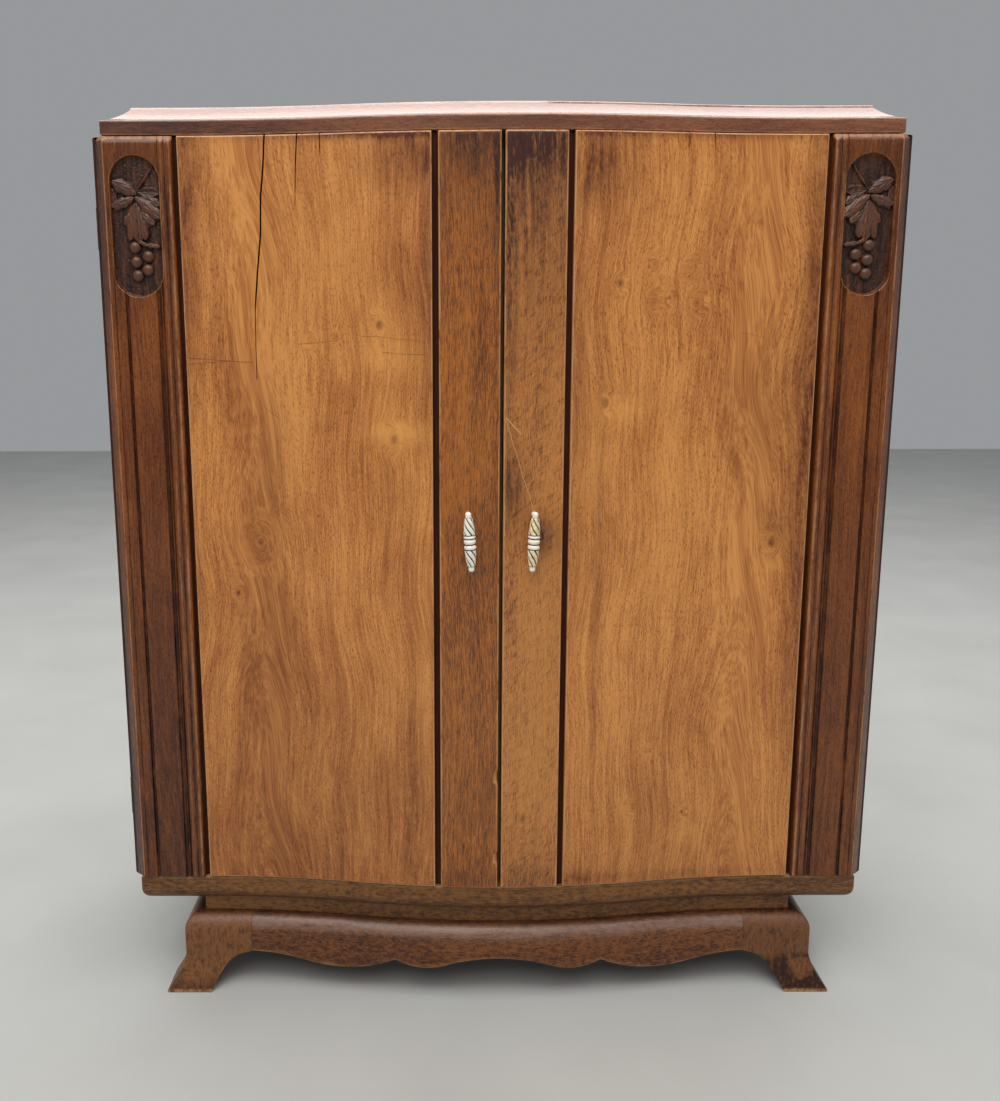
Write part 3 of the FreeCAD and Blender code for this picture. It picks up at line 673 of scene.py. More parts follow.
BROAD = Fibre(24.0, 700.0, 0.3, 0.7, 0.24)
STREAK = Fibre(5.0, 300.0, 0.28, 0.72, 0.3, 3.0)
SOFT = Fibre(6.0, 260.0, 0.28, 0.72, 0.24, 4.0)
FINE = Fibre(1.5, 40.0, 0.34, 0.66, 0.38, 2.0)
PORES = Fibre(1.4, 6.0, 0.52, 0.68, 0.45)
CLOUD = Fibre(90.0, 230.0, 0.3, 0.7, 0.34, 3.0)
COARSE = Fibre(1.2, 20.0, 0.34, 0.66, 0.75, 2.0)
PITS = Fibre(1.2, 5.0, 0.52, 0.7, 0.45)
FLECK = Fibre(3.6, 17.0, 0.5, 0.74, 0.42, 2.0, 0.8)
CRAZE = Fibre(2.0, 16.0, 0.52, 0.66, 0.4, 3.0, 0.5)
SPOT = Fibre(7.0, 12.0, 0.35, 0.68, 0.7, 4.0)
GRIT = Fibre(1.8, 5.0, 0.38, 0.64, 0.6, 3.0)
STRAIGHT = (CLOUD, BROAD, STREAK)
PORED = (*STRAIGHT, FINE, PORES)
PITTED = (*STRAIGHT, COARSE, PITS)

# The panels' glow tint colours the painted chatoyant highlight round the knots, and their paler patches.
LEFT_PANEL_WALNUT = Wood("walnut_panel_veneer_varnished", "#de974f", "#b46d33", "#794019",
                         fibres=(CLOUD, BROAD, SOFT, FINE, PORES), ring_amount=0.10, coat=0.12,
                         wear_and_highlight_tint="#d3a070", glow="#f3ac58", stain="#7d553a", tone=0.53, seed=1.0,
                         scratches=(Scratch((-0.510, 1.141), (-0.402, 1.134), "#5c3016", 1.5, 0.6),
                                    Scratch((-0.512, 1.131), (-0.440, 1.136), "#5c3016", 1.3, 0.5),
                                    Scratch((-0.330, 1.163), (-0.262, 1.168), "#6a3a1c", 1.2, 0.5),
                                    Scratch((-0.222, 1.176), (-0.130, 1.168), "#6a3a1c", 1.2, 0.5),
                                    Scratch((-0.190, 1.150), (-0.120, 1.146), "#6a3a1c", 1.2, 0.5),
                                    Scratch((-0.386, 1.060), (-0.360, 1.040), "#6a3a1c", 1.2, 0.5),
                                    Scratch((0.392, 1.180), (0.432, 1.171), "#6a3a1c", 1.2, 0.4)))
RIGHT_PANEL_WALNUT = replace(LEFT_PANEL_WALNUT, name="walnut_right_panel_veneer_varnished", tone=0.45,
                             seed=2.0)
LEFT_STILE_WALNUT = Wood("walnut_left_stile_olive_varnish", "#b66a23", "#81471a", "#451f08",
                         fibres=PITTED, ring_amount=0.06,
                         wear_and_highlight_tint="#cf9560", glow="#a5753a", stain="#5f4130", seed=5.0)
RIGHT_STILE_WALNUT = Wood("walnut_right_stile_golden_varnish", "#c67f3e", "#8f5427", "#522a11",
                          fibres=(*PITTED, FLECK), ring_amount=0.06,
                          scratches=(Scratch((0.010, 1.045), (0.034, 1.018), "#d9a668", 1.6, 0.8),
                                     Scratch((0.010, 1.042), (0.056, 0.892), "#cf9859", 1.5, 0.7)),
                          wear_and_highlight_tint="#d09a68", glow="#cf9148", stain="#5c3b2e", seed=6.0)
# The pilaster's pale arris tint also colours the painted highlights on the top chamfer and on the carving's
# crests.
PILASTER_WALNUT = Wood("walnut_pilaster_red_varnish", "#975520", "#693515", "#3f1c08",
                       fibres=PORED, wear_and_highlight_tint="#a8744e", stain="#5f463c",
                       glow="#5d3f33", glow_limit=0.9, roughness=0.38, coat=0.35,
                       coat_roughness=0.16, specular=0.25, seed=9.0)
TOP_WALNUT = Wood("walnut_top_varnished", "#965d3a", "#723f26", "#492213", grain=Grain.ACROSS,
                  fibres=PORED, wear_and_highlight_tint="#b98660", roughness=0.34,
                  coat=0.9, coat_roughness=0.14, seed=13.0)
# The cove's pale colours are partly a painted reflection of the bright sky above, on top of its real high
# gloss.
COVE_WALNUT = Wood("walnut_cove_gloss_painted_reflection", "#bd8265", "#9c634c", "#6c3e2d",
                   fibres=(*STRAIGHT, COARSE), wear_and_highlight_tint="#d9b09a", roughness=0.3, coat=1.0,
                   coat_roughness=0.08, coat_ior=2.2, relief=0.3, seed=15.0)
BASE_WALNUT = Wood("walnut_base_dull_olive", "#875829", "#623d1b", "#3d220c", grain=Grain.ACROSS,
                   fibres=(*PITTED, SPOT), wear_and_highlight_tint="#a07a50", roughness=0.46,
                   coat=0.2, coat_roughness=0.3, specular=0.3, seed=17.0)
# The glow tints of the apron and the feet colour the painted sheen on their rolled shoulders.
APRON_WALNUT = Wood("walnut_apron_red_varnish", "#824c20", "#603314", "#3a1b0a", grain=Grain.ACROSS,
                    fibres=(*STRAIGHT, COARSE, GRIT, SPOT), wear_and_highlight_tint="#a5764e",
                    glow="#93796d", roughness=0.42, coat=0.3, coat_roughness=0.24, specular=0.3, seed=21.0)
FOOT_WALNUT = Wood("walnut_foot_crazed_varnish", "#83532c", "#613b1e", "#3a200c", grain=Grain.UPRIGHT,
                   fibres=(CLOUD, STREAK, COARSE, PITS, SPOT, CRAZE), wear_and_highlight_tint="#a57b52", glow="#8f6450",
                   roughness=0.46, coat=0.2, coat_roughness=0.3, specular=0.3, seed=23.0)
# The door core shows only in the deep channels, and its dark colour is partly the painted shade of those
# channels.
CORE_WALNUT = Wood("walnut_channel_dark_painted_shade", "#532d1b", "#3f1d0f", "#271008", grain=Grain.UPRIGHT,
                   fibres=(BROAD, STREAK, FINE), roughness=0.6, coat=0.0, specular=0.15, seed=25.0)
SIDE_WALNUT = Wood("walnut_side_varnished", "#8c5833", "#6a3e23", "#432313", grain=Grain.UPRIGHT,
                   fibres=PORED, roughness=0.42, seed=29.0)
SHELF_POPLAR = Wood("poplar_shelf_bare", "#c4a074", "#a98459", "#7c5a38", grain=Grain.ACROSS,
                    fibres=(*STRAIGHT, FINE), roughness=0.62, coat=0.0, seed=33.0)
INSIDE_POPLAR = Wood("poplar_inside_bare", "#bd9a6e", "#a07a50", "#745232", grain=Grain.UPRIGHT,
                     fibres=(*STRAIGHT, FINE), roughness=0.62, coat=0.0, seed=37.0)
BACK_PLYWOOD = Wood("poplar_plywood_back", "#c9a880", "#ad8a62", "#7d5d3c", grain=Grain.UPRIGHT,
                    fibres=(CLOUD, BROAD, FINE), roughness=0.7, coat=0.0, seed=41.0)


@dataclass(frozen=True)
class Metal:
    """A metal fitting: bright in some places, dulled and browned in others."""

    name: str
    bright: str
    dull: str
    roughness: float

    @cache
    def make(self) -> Material:
        """Build the material: two tones and a roughness that follow one noise of 15 mm clouds.

        Returns:
            The material.
        """
        material, tree, shader = new_material(self.name)
        place = add(tree, "TexCoord", out="Object")
        cloud = add(tree, "TexNoise", named={"Vector": place, "Scale": 1 / (15 * MM), "Detail": 4.0})
        share = add(tree, "MapRange", cloud, 0.3, 0.75)
        colour = mix(tree, share, linear(self.bright), linear(self.dull))
        gloss = add(tree, "MapRange", share, 0.0, 1.0, self.roughness, self.roughness + 0.25)
        tree.links.new(colour, shader.inputs["Base Color"])
        tree.links.new(gloss, shader.inputs["Roughness"])
        shader.inputs["Metallic"].default_value = 1.0
        return material


@dataclass(frozen=True)
class Plastic:
    """Moulded casein plastic, an imitation ivory: waxy, faintly see-through, dark in its grooves."""

    name: str
    body: str
    groove: str
    gilt: str

    @cache
    def make(self) -> Material:
        """Build the material: the grooves are darkened by one mark, and the strands yellow where the gilt
        mark says.

        Returns:
            The material.
        """
        material, tree, shader = new_material(self.name)
        place = add(tree, "TexCoord", out="Object")
        cloud = add(tree, "TexNoise", named={"Vector": place, "Scale": 1 / (4 * MM), "Detail": 3.0})
        gilt = add(tree, "Attribute", attribute_name="gilt", out="Fac")
        yellow = add(tree, "Math", gilt, add(tree, "MapRange", cloud, 0.35, 0.6), operation="MULTIPLY")
        colour = mix(tree, yellow, linear(self.body), linear(self.gilt))
        dirt = add(tree, "Attribute", attribute_name="dirt", out="Fac")
        ragged = add(tree, "Math", cloud, 0.25, dirt, operation="MULTIPLY_ADD")
        share = add(tree, "MapRange", ragged, 0.45, 0.8)
        colour = mix(tree, share, colour, linear(self.groove))
        tree.links.new(colour, shader.inputs["Base Color"])
        tree.links.new(add(tree, "MapRange", share, 0.0, 1.0, 0.32, 0.6), shader.inputs["Roughness"])
        shader.inputs["Subsurface Weight"].default_value = 0.08
        shader.inputs["Subsurface Scale"].default_value = 1.5 * MM
        shader.inputs["Coat Weight"].default_value = 0.3
        shader.inputs["IOR"].default_value = 1.54
        return material


HINGE_STEEL = Metal("steel_hinge_browned", "#8c8579", "#4d3c2e", 0.38)
SCREW_STEEL = Metal("steel_screw_dull", "#9a948a", "#5b4a3a", 0.35)
RAIL_STEEL = Metal("steel_rail_nickelled", "#b8b4ab", "#8b8377", 0.25)
LEFT_IVORY = Plastic("casein_ivory_left", "#fdfaf0", "#241f12", "#e4d8b0")
RIGHT_IVORY = Plastic("casein_ivory_right", "#fdf7e6", "#2a200c", "#e6bf5c")


# ---------------------------------------------------------------- the figure of the panels

@dataclass(frozen=True)
class Knot:
    """A place that the grain parts round: where it is, its size, how far it parts, and its tones, of which
    the glow is a painted chatoyant highlight round it.
    """

    x: float
    z: float
    size: float
    part: float
    dark: float = 0.0
    glow: float = 0.0
    curl: float = 0.008

    def weight(self, x: Array, z: Array, reach: float = 1.0) -> Array:
        """A bell round the knot, longer along the grain than across it."""
        across, along = (x - self.x) / (self.size * reach), (z - self.z) / (1.5 * self.size * reach)
        return np.exp(-np.square(across) - np.square(along))


@dataclass(frozen=True)
class Patch:
    """A soft patch of darker wood (below nothing) or glow (above nothing), with its half sizes; the glow is
    partly paler wood and partly a painted chatoyant highlight.
    """

    x: float
    z: float
    width: float
    height: float
    amount: float

    def weight(self, x: Array, z: Array) -> Array:
        """A bell over the patch, times its amount."""
        return self.amount * bell(x, self.x, self.width) * bell(z, self.z, self.height)


def marks_of(x: Array, z: Array, knots: Sequence[Knot], patches: Sequence[Patch]) -> dict[str, Array]:
    """Add up the stains and the glow of knots and patches over a face; the glow round the knots is a painted
    chatoyant highlight.

    Args:
        x: Places across, in metres.
        z: Heights, in metres.
        knots: Knots of the face.
        patches: Patches of the face.

    Returns:
        The dark staining and the glow at each point.
    """
    tones = [patch.weight(x, z) for patch in patches]
    # Knot glow: a painted chatoyant highlight round each knot.
    tones += [knot.glow * knot.weight(x, z, 1.6) for knot in knots]
    tones += [-1.3 * knot.dark * knot.weight(x, z, 0.26) for knot in knots]
    stain = sum((np.maximum(-tone, 0.0) for tone in tones), np.zeros_like(x))
    glow = sum((np.maximum(tone, 0.0) for tone in tones), np.zeros_like(x))
    return {"stain": np.clip(stain, 0.0, 1.2), "glow": np.clip(glow, 0.0, 1.2)}


@dataclass(frozen=True)
class Figure:
    """Flat-sawn figure: the cut leans through the tree's rings, so they show as nested arches.

    The distance from the pith, sqrt((x - heart)^2 + depth(z)^2), is the place across the grain,
    and its contours are the rings. The depth grows up the board, which points the arches up.
    """

    heart: float
    foot: float
    lean: float = 0.17
    start: float = 0.012
    fade: float = 0.45

    def grain(self, x: Array, z: Array, knots: Sequence[Knot]) -> Array:
        """Place across and along the grain for each point of a face, parted round the knots.

        Args:
            x: Places across, in metres.
            z: Heights, in metres.
            knots: Knots that the grain parts round.

        Returns:
            Both places for each point, on a last axis.
        """
        shifted = x.copy()
        for knot in knots:
            shifted = shifted - (x - knot.x) * knot.weight(x, z) * knot.part
        sway = 0.006 * np.sin(z * 11.0 + x * 6.0) + 0.004 * np.sin(z * 23.0 - x * 13.0 + 1.0)
        from_heart = shifted - self.heart + sway
        climb = self.lean * self.fade * (1.0 - np.exp((self.foot - z) / self.fade))
        depth = self.start + climb + 0.004 * np.sin(z * 17.0 + 2.0)
        across = np.sqrt(np.square(from_heart) + np.square(depth))
        for knot in knots:
            far = np.hypot(x - knot.x, (z - knot.z) / 1.2) / knot.size
            across = across + knot.curl * knot.weight(x, z) * np.cos(4.5 * far)
        along = z + 0.3 * np.tanh(from_heart / 0.04)
        return np.stack([across, along], -1)


# ---------------------------------------------------------------- doors

@dataclass(frozen=True)
class Split:
    """A drying split: heights and x of the points that it runs through, and its widest half width."""

    heights: tuple[float, ...]
    places: tuple[float, ...]
    half_width: float

    def line(self, z: Array) -> Array:
        """x of the split at each height, straight from point to point."""
        return np.interp(z, self.heights, self.places)

    def opening(self, z: Array) -> Array:
        """Half width at each height: full at the top edge, closing at the lower end."""
        low, high = self.heights[0], self.heights[-1]
        return self.half_width * np.sqrt(np.clip((z - low) / (high - low), 0.0, 1.0)) * (z >= low)


@dataclass
class Panel:
    """The wide bowed panel of one door: a veneered board with rubbed arrises and drying splits."""

    end: str
    wood: Wood
    figure: Figure
    knots: tuple[Knot, ...]
    patches: tuple[Patch, ...]
    splits: tuple[Split, ...] = ()
    arris: float = 0.003
    set_back: float = 0.0015
    back: float = 0.014
    split_depth: float = 0.006

    def skin(self) -> Skin:
        """Front relief over x and z, then the plain back, as one ring at each height.

        The front's set back is the arris rounding in x plus that in z plus a V for each split:
        split_depth * (1 - distance / half width). Columns lean with each split so that it is crisp.

        Returns:
            The closed skin.
        """
        low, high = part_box(f"panel_{self.end}")
        crowd = np.array([-2.2, -1.0, -0.5, 0.0, 0.5, 1.0, 2.2])
        near = [split.places[-1] + split.half_width * crowd for split in self.splits]
        columns = stations(low[0], high[0], 0.0035, self.arris, np.concatenate([[], *near]))
        rows = stations(low[2], high[2], 0.0035, self.arris)
        x, z = np.meshgrid(columns, rows)
        depth = self.set_back + rounding(np.minimum(x - low[0], high[0] - x), self.arris)
        depth = depth + rounding(np.minimum(z - low[2], high[2] - z), self.arris)
        split_mark = np.zeros_like(x)
        for split in self.splits:
            lean = (split.line(z) - split.places[-1]) * bell(x, split.places[-1], 0.03)
            x = x + lean
            gap = np.abs(x - split.line(z)) / np.maximum(split.opening(z), 1e-6)
            inside = np.clip(1.0 - gap, 0.0, 1.0) * (split.opening(z) > 1e-5)
            depth = depth + self.split_depth * inside
            split_mark = np.maximum(split_mark, smooth(inside, 0.0, 0.25))
        front = np.stack([x, BOW.face(x, depth), z], -1)
        edge = np.minimum.reduce([x - low[0], high[0] - x, z - low[2], high[2] - z])
        marks = marks_of(x, z, self.knots, self.patches)
        marks["wear"] = np.clip(1.1 - np.maximum(edge, 0.0) / (1.2 * self.arris), 0.0, 1.0)
        marks["split"] = split_mark
        return close_back(front, self.figure.grain(x, z, self.knots), marks, self.back)

    def build(self) -> None:
        """Build the panel and fit it to its door."""
        piece = build_piece(f"panel_veneered_{self.end}", [self.skin()])
        fit(piece, f"{self.end}_door", self.wood.make(), [f"panel_{self.end}"])


@dataclass
class Stile:
    """The plain board along a door's meeting edge, burnt at the top and rubbed along its arrises."""

    end: str
    wood: Wood
    patches: tuple[Patch, ...]
    chips: Pairs = ()
    arris: float = 0.004
    chip_reach: float = 0.010
    back: float = 0.014

    def skin(self) -> Skin:
        """Front relief: rounded arrises, the inner one rounded more where a chip has broken off.

        Returns:
            The closed skin.
        """
        side = SIDES[self.end]
        low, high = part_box(f"stile_{self.end}")
        columns = stations(low[0], high[0], 0.004, self.arris)
        rows = stations(low[2], high[2], 0.005, self.arris)
        x, z = np.meshgrid(columns, rows)
        inner = x - low[0] if side > 0 else high[0] - x
        outer = high[0] - x if side > 0 else x - low[0]
        broken = sum((smooth(bell(z, height, length), 0.15, 0.6) for height, length in self.chips),
                     np.zeros_like(z))
        depth = rounding(inner, self.arris + self.chip_reach * broken) + rounding(outer, self.arris)
        depth = depth + rounding(np.minimum(z - low[2], high[2] - z), self.arris)
        front = np.stack([x, BOW.face(x, np.minimum(depth, 0.9 * self.back)), z], -1)
        marks = marks_of(x, z, (), self.patches)
        edge = np.minimum.reduce([inner / (1 + 2 * broken), outer, z - low[2], high[2] - z])
        marks["wear"] = np.clip(1.15 - np.maximum(edge, 0.0) / self.arris, 0.0, 1.0)
        grain = np.stack([x + 0.005 * np.sin(z * 9.0), z], -1)
        return close_back(front, grain, marks, self.back)

    def build(self) -> None:
        """Build the stile and fit it to its door."""
        piece = build_piece(f"stile_board_{self.end}", [self.skin()])
        fit(piece, f"{self.end}_door", self.wood.make(), [f"stile_{self.end}"])


@dataclass(frozen=True)
class Petal:
    """One lobe of a carved leaf: a line from its root to its tip, with a width and a height.

    Along the lobe, the half width is width * sin(pi * t^skew)^0.45, scalloped a little, and
    across it the height is a crown, (1 - (across / half width)^2)^0.45, less a midrib and veins.
    A lobe with a hollow is dished along its middle.
    """

    root: tuple[float, float]
    tip: tuple[float, float]
    width: float
    height: float
    skew: float = 0.8
    root_height: float = 0.6
    hollow: float = 0.0

    def relief(self, x: Array, z: Array) -> Array:
        """Height of the lobe above the ground, in metres.

        Args:
            x: Places across from the cartouche's middle, in metres.
            z: Heights above the cartouche's middle, in metres.

        Returns:
            The height of the lobe at each point.
        """
        root, tip = np.multiply(self.root, MM), np.multiply(self.tip, MM)
        length = np.hypot(*(tip - root))
        along_x, along_z = (tip - root) / length
        share = ((x - root[0]) * along_x + (z - root[1]) * along_z) / length
        across = (z - root[1]) * along_x - (x - root[0]) * along_z
        inside = np.clip(share, 0.0, 1.0)
        half = self.width * MM * np.sin(math.pi * inside ** self.skew) ** 0.45 + 1e-6
        half = half * (1.0 + 0.09 * np.sin(17.0 * inside + self.tip[1]))
        crown = np.clip(1.0 - np.square(across / half), 0.0, 1.0) ** 0.45
        body = self.height * MM * (self.root_height + (1 - self.root_height) * np.sin(inside * 2.2))
        midrib = 0.7 * MM * bell(across, 0.0, 0.7 * MM) * smooth(inside, 0.0, 0.2)
        veins = (0.0 if self.hollow else 0.2) * MM * np.sin(np.abs(across) / MM * 1.3 + share * 16.0)
        cut = np.where(crown > 0.5, veins, 0.0) + midrib * (crown > 0.3)
        body = body * (1.0 - self.hollow * smooth(crown, 0.72, 0.95))
        return np.where((share > 0) & (share < 1), crown * body - cut, 0.0)


@dataclass
class Pilaster:
    """The fluted, canted pilaster on a door's outer edge, with a sunk cartouche of leaf and grapes.

    Places across are measured outwards from the middle of the door pair, on either side alike.
    """

    end: str
    low_stain: float
    inner: float = 0.524
    outer: float = 0.648
    arris: float = 0.634
    back: float = 0.014
    quirks: Triples = (
        (0.5350, 0.0011, 0.0009), (0.5480, 0.0011, 0.0013), (0.6250, 0.0010, 0.0008))
    flutes: Triples = ((0.5540, 0.0036, 0.0040), (0.6062, 0.0029, 0.0040))
    bead: tuple[float, float] = (0.5415, 0.0055)
    centre: float = 0.5855
    level: float = 1.3457
    half_width: float = 0.0388
    half_height: float = 0.1095
    sunk: float = 0.009
    chamfer: float = 0.009
    petals: tuple[Petal, ...] = (
        Petal((-2, 50), (36, 71), 12.5, 7.4, 1.4), Petal((2, 46), (38, 31), 9.5, 7.0, 1.3),
        Petal((35, 62), (33, 24), 5.5, 4.6, 1.0), Petal((-3, 55), (-38, 53), 9.0, 7.0, 1.2, 0.6, 0.55),
        Petal((-8, 48), (-39, 33), 9.5, 6.4, 1.2), Petal((1, 47), (-40, 13), 11.5, 8.7, 1.3, 0.8),
        Petal((1, 38), (-3, -21), 19.0, 7.7, 1.1), Petal((2, 34), (12, -21), 10.0, 7.6, 1.3),
        Petal((0, 34), (-14, -20), 10.0, 8.3, 1.3),
        Petal((-3, 26), (-29, 4), 10.0, 7.4, 1.3), Petal((4, 26), (19, 3), 9.0, 6.8, 1.3),
        Petal((5, -17), (-16, -30), 4.6, 7.8, 0.9), Petal((-8, -27), (-37, -31), 5.0, 8.2, 1.1, 0.9),
        Petal((-28, 93), (-1, 54), 2.4, 5.0, 0.5))
    grapes: Pairs = (
        (5.0, -31.5), (-15.5, -45.5), (4.0, -54.5), (-14.0, -67.0), (2.5, -76.0))
    grape_radius: float = 0.0103
    nearby: float = 0.003

    def inside(self, reach: Array, z: Array) -> Array:
        """Distance in from the cartouche's rim: a capsule's radius less the distance to its spine.

        Args:
            reach: Distances out from the middle of the door pair, in metres.
            z: Heights, in metres.

        Returns:
            The distance, which is above nothing inside the rim.
        """
        straight = self.half_height - self.half_width
        rise = np.maximum(np.abs(z - self.level) - straight, 0.0)
        return self.half_width - np.hypot(reach - self.centre, rise)

    def quirk_fade(self, z: Array) -> Array:
        """1 up to the cartouche's middle, then down to 0 beside the leaf, where the quirks run out."""
        return 1.0 - smooth(z, self.level + 0.03, self.level + 0.07)

    def carving(self, reach: Array, z: Array) -> Array:
        """Height of the carving above the cartouche's ground: the highest lobe or grape at each point.

        A grape is a ball on the ground: 0.83 sqrt(r^2 - distance^2). The ground is punched all over.

        Args:
            reach: Distances out from the middle of the door pair, in metres.
            z: Heights, in metres.

        Returns:
            The height at each point, in metres.
        """
        x, up = reach - self.centre, z - self.level
        height = 0.0006 * speckle(x + 1.0, up + 1.0, 0.0032, 3)
        height = height + 0.0004 * speckle(x + 1.0, up + 1.0, 0.0017, 4)
        for petal in self.petals:
            height = np.maximum(height, petal.relief(x, up))
        for across, rise in self.grapes:
            distance = np.hypot(x - across * MM, up - rise * MM)
            ball = 0.83 * np.sqrt(np.maximum(self.grape_radius ** 2 - np.square(distance), 0.0))
            height = np.maximum(height, ball)
        return height

    def depth(self, reach: Array, z: Array, top: float) -> Array:
        """How far the face is set back: arrises, quirks, flutes, bead, cant, cartouche and chamfer.

        Args:
            reach: Distances out from the middle of the door pair, in metres.
            z: Heights, in metres.
            top: Height of the pilaster's top, in metres.

        Returns:
            The set back at each point, in metres.
        """
        cant = reach - self.arris
        soft = 0.0015
        depth = rounding(reach - self.inner, 0.005) + 0.5 * (cant + np.sqrt(np.square(cant) + soft ** 2))
        fade = self.quirk_fade(z)
        for middle, half, deep in self.quirks:
            depth = depth + fade * deep * np.clip(1.0 - np.abs(reach - middle) / half, 0.0, 1.0) ** 0.6
        middle, half = self.bead
        crown = 1.0 - np.sqrt(np.clip(1.0 - np.square((reach - middle) / half), 0.0, 1.0))
        depth = depth + 0.0016 * crown * (np.abs(reach - middle) < half)
        below = z < self.level
        for middle, half, deep in self.flutes:
            hollow = np.sqrt(np.clip(1.0 - np.square((reach - middle) / half), 0.0, 1.0))
            depth = depth + deep * hollow * below
        inside = self.inside(reach, z)
        wall = smooth(inside, -0.0012, 0.0022)
        floor = self.sunk - self.carving(reach, z)
        depth = depth * (1 - wall) + floor * wall
        fall = z - (top - self.chamfer)
        return depth + 0.3 * (fall + np.sqrt(np.square(fall) + 0.002 ** 2))

    def wear(self, reach: Array, z: Array, inside: Array, top: float) -> Array:
        """Rubbed varnish on the cartouche's lip, the outer and inner arrises and the bead, and a painted
        highlight along the top chamfer.

        Args:
            reach: Distances out from the middle of the door pair, in metres.
            z: Heights, in metres.
            inside: Distances in from the cartouche's rim, in metres.
            top: Height of the pilaster's top, in metres.

        Returns:
            The rubbed varnish and the painted highlight at each point.
        """
        middle, half = self.bead
        lip = 0.6 * bell(inside, -0.001, 0.0012) + 0.9 * bell(reach, self.arris - 0.001, 0.0015)
        wear = lip + 0.5 * bell(reach, middle, 0.6 * half) + 0.8 * bell(reach, self.inner + 0.004, 0.002)
        # Painted highlight: the top chamfer is lightened as though it caught the light from above.
        return wear + bell(z, top - 0.3 * self.chamfer, 0.4 * self.chamfer)

    def hollows(self, reach: Array, z: Array, inside: Array) -> Array:
        """Darker colour along the quirks and, below the cartouche's middle, along the flutes.

        Args:
            reach: Distances out from the middle of the door pair, in metres.
            z: Heights, in metres.
            inside: Distances in from the cartouche's rim, in metres.

        Returns:
            The darkening at each point.
        """
        quirks = sum(bell(reach, middle, 0.9 * half) for middle, half, _ in self.quirks)
        flutes = sum(bell(reach, middle, 0.9 * half) for middle, half, _ in self.flutes)
        dirt = 0.6 * self.quirk_fade(z) * quirks + 0.9 * (z < self.level) * flutes
        return dirt * (1 - smooth(inside, -0.001, 0.0))

    def marks(self, reach: Array, z: Array, top: float) -> dict[str, Array]:
        """Stain, rubbed varnish and glow of the face and of the carving, with painted shade and painted
        highlights among them.

        A crevice lies lower, and a crest higher, than the mean of eight points round about it. Crevices and
        the low parts of the relief get painted shade, and crests a painted highlight.

        Args:
            reach: Distances out from the middle of the door pair, in metres.
            z: Heights, in metres.
            top: Height of the pilaster's top, in metres.

        Returns:
            Each mark at each point.
        """
        inside = self.inside(reach, z)
        height = self.carving(reach, z)
        around = sum(self.carving(reach + self.nearby * math.cos(turn), z + self.nearby * math.sin(turn))
                     for turn in np.arange(8) * math.pi / 4) / 8
        carved = smooth(inside, 0.0, 0.003)
        # Painted shade in the crevices and a painted highlight on the crests, from how the relief stands
        # against its surroundings.
        crevice = carved * smooth(around - height, 0.0, 0.0010)
        crest = carved * smooth(height - around, 0.0001, 0.0010)
        ground = smooth(inside, 0.0, 0.002) * smooth(0.0032 - height, 0.0, 0.0026)
        # Painted shade: the relief is darker the nearer it lies to the ground.
        low_relief = carved * (1.0 - smooth(height, 0.002, 0.0085))
        face = 0.45 * smooth(z, 1.15, 1.35) + self.low_stain * (1.0 - smooth(z, 0.25, 1.15))
        # The 0.3 step over the outer cant is painted shade on the face that turns away from the front.
        stain = self.hollows(reach, z, inside) + 0.3 * smooth(reach, 0.636, 0.644) + face * (1.0 - carved)
        # low_relief and crevice add painted shade to the darker ground and carving.
        stain = stain + 0.15 * ground + 0.15 * carved + 0.45 * low_relief + 1.1 * crevice
        # The crest share is a painted highlight on the carving's ridges.
        wear = self.wear(reach, z, inside, top) * (1 - 0.7 * carved) + 0.25 * crest
        glow = 0.95 * carved + 0.5 * crest
        return {mark: np.clip(values, 0.0, 1.0)
                for mark, values in (("wear", wear), ("stain", stain), ("glow", glow))}

    def grid(self, low: float, high: float) -> tuple[Array, Array]:
        """Places across and heights of the relief's lines, closest over the carving and the arrises.

        Args:
            low: Height of the pilaster's foot.
            high: Height of its top.

        Returns:
            The places across and the heights, both rising.
        """
        lines = [(middle, half) for middle, half, _ in self.quirks + self.flutes] + [self.bead]
        near = [middle + half * np.linspace(-1.0, 1.0, 7) for middle, half in lines]
        across = stations(self.inner, self.outer, 0.006, 0.005, np.concatenate([
            *near, np.arange(self.centre - 0.041, self.centre + 0.041, 0.00075),
            self.arris + 0.001 * np.linspace(-3.0, 3.0, 7)]))
        up = stations(low, high, 0.03, 0.004, np.concatenate([
            np.arange(self.level - 0.112, self.level + 0.112, 0.0008),
            high - self.chamfer * np.linspace(0.0, 1.6, 8)]))
        return across, up

    def skin(self) -> Skin:
        """The face as a relief over places across and heights, mirrored for the left door.

        Returns:
            The closed skin.
        """
        side = SIDES[self.end]
        low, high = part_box(f"pilaster_{self.end}")
        across, up = self.grid(low[2], high[2])
        reach, z = np.meshgrid(across[::side], up)
        depth = np.minimum(self.depth(reach, z, high[2]), self.back)
        depth = depth + rounding(z - low[2], 0.002) * (depth < 0.01)
        front = np.stack([reach * side, BOW.plane + np.clip(depth, 0.0, self.back), z], -1)
        grain = np.stack([reach + 3.0 * (side > 0) + 0.004 * np.sin(8.0 * z), z], -1)
        return close_back(front, grain, self.marks(reach, z, high[2]), self.back)

    def build(self) -> None:
        """Build the pilaster and fit it to its door."""
        piece = build_piece(f"pilaster_carved_{self.end}", [self.skin()], crease=50.0)
        fit(piece, f"{self.end}_door", PILASTER_WALNUT.make(),
            [f"pilaster_{self.end}"])


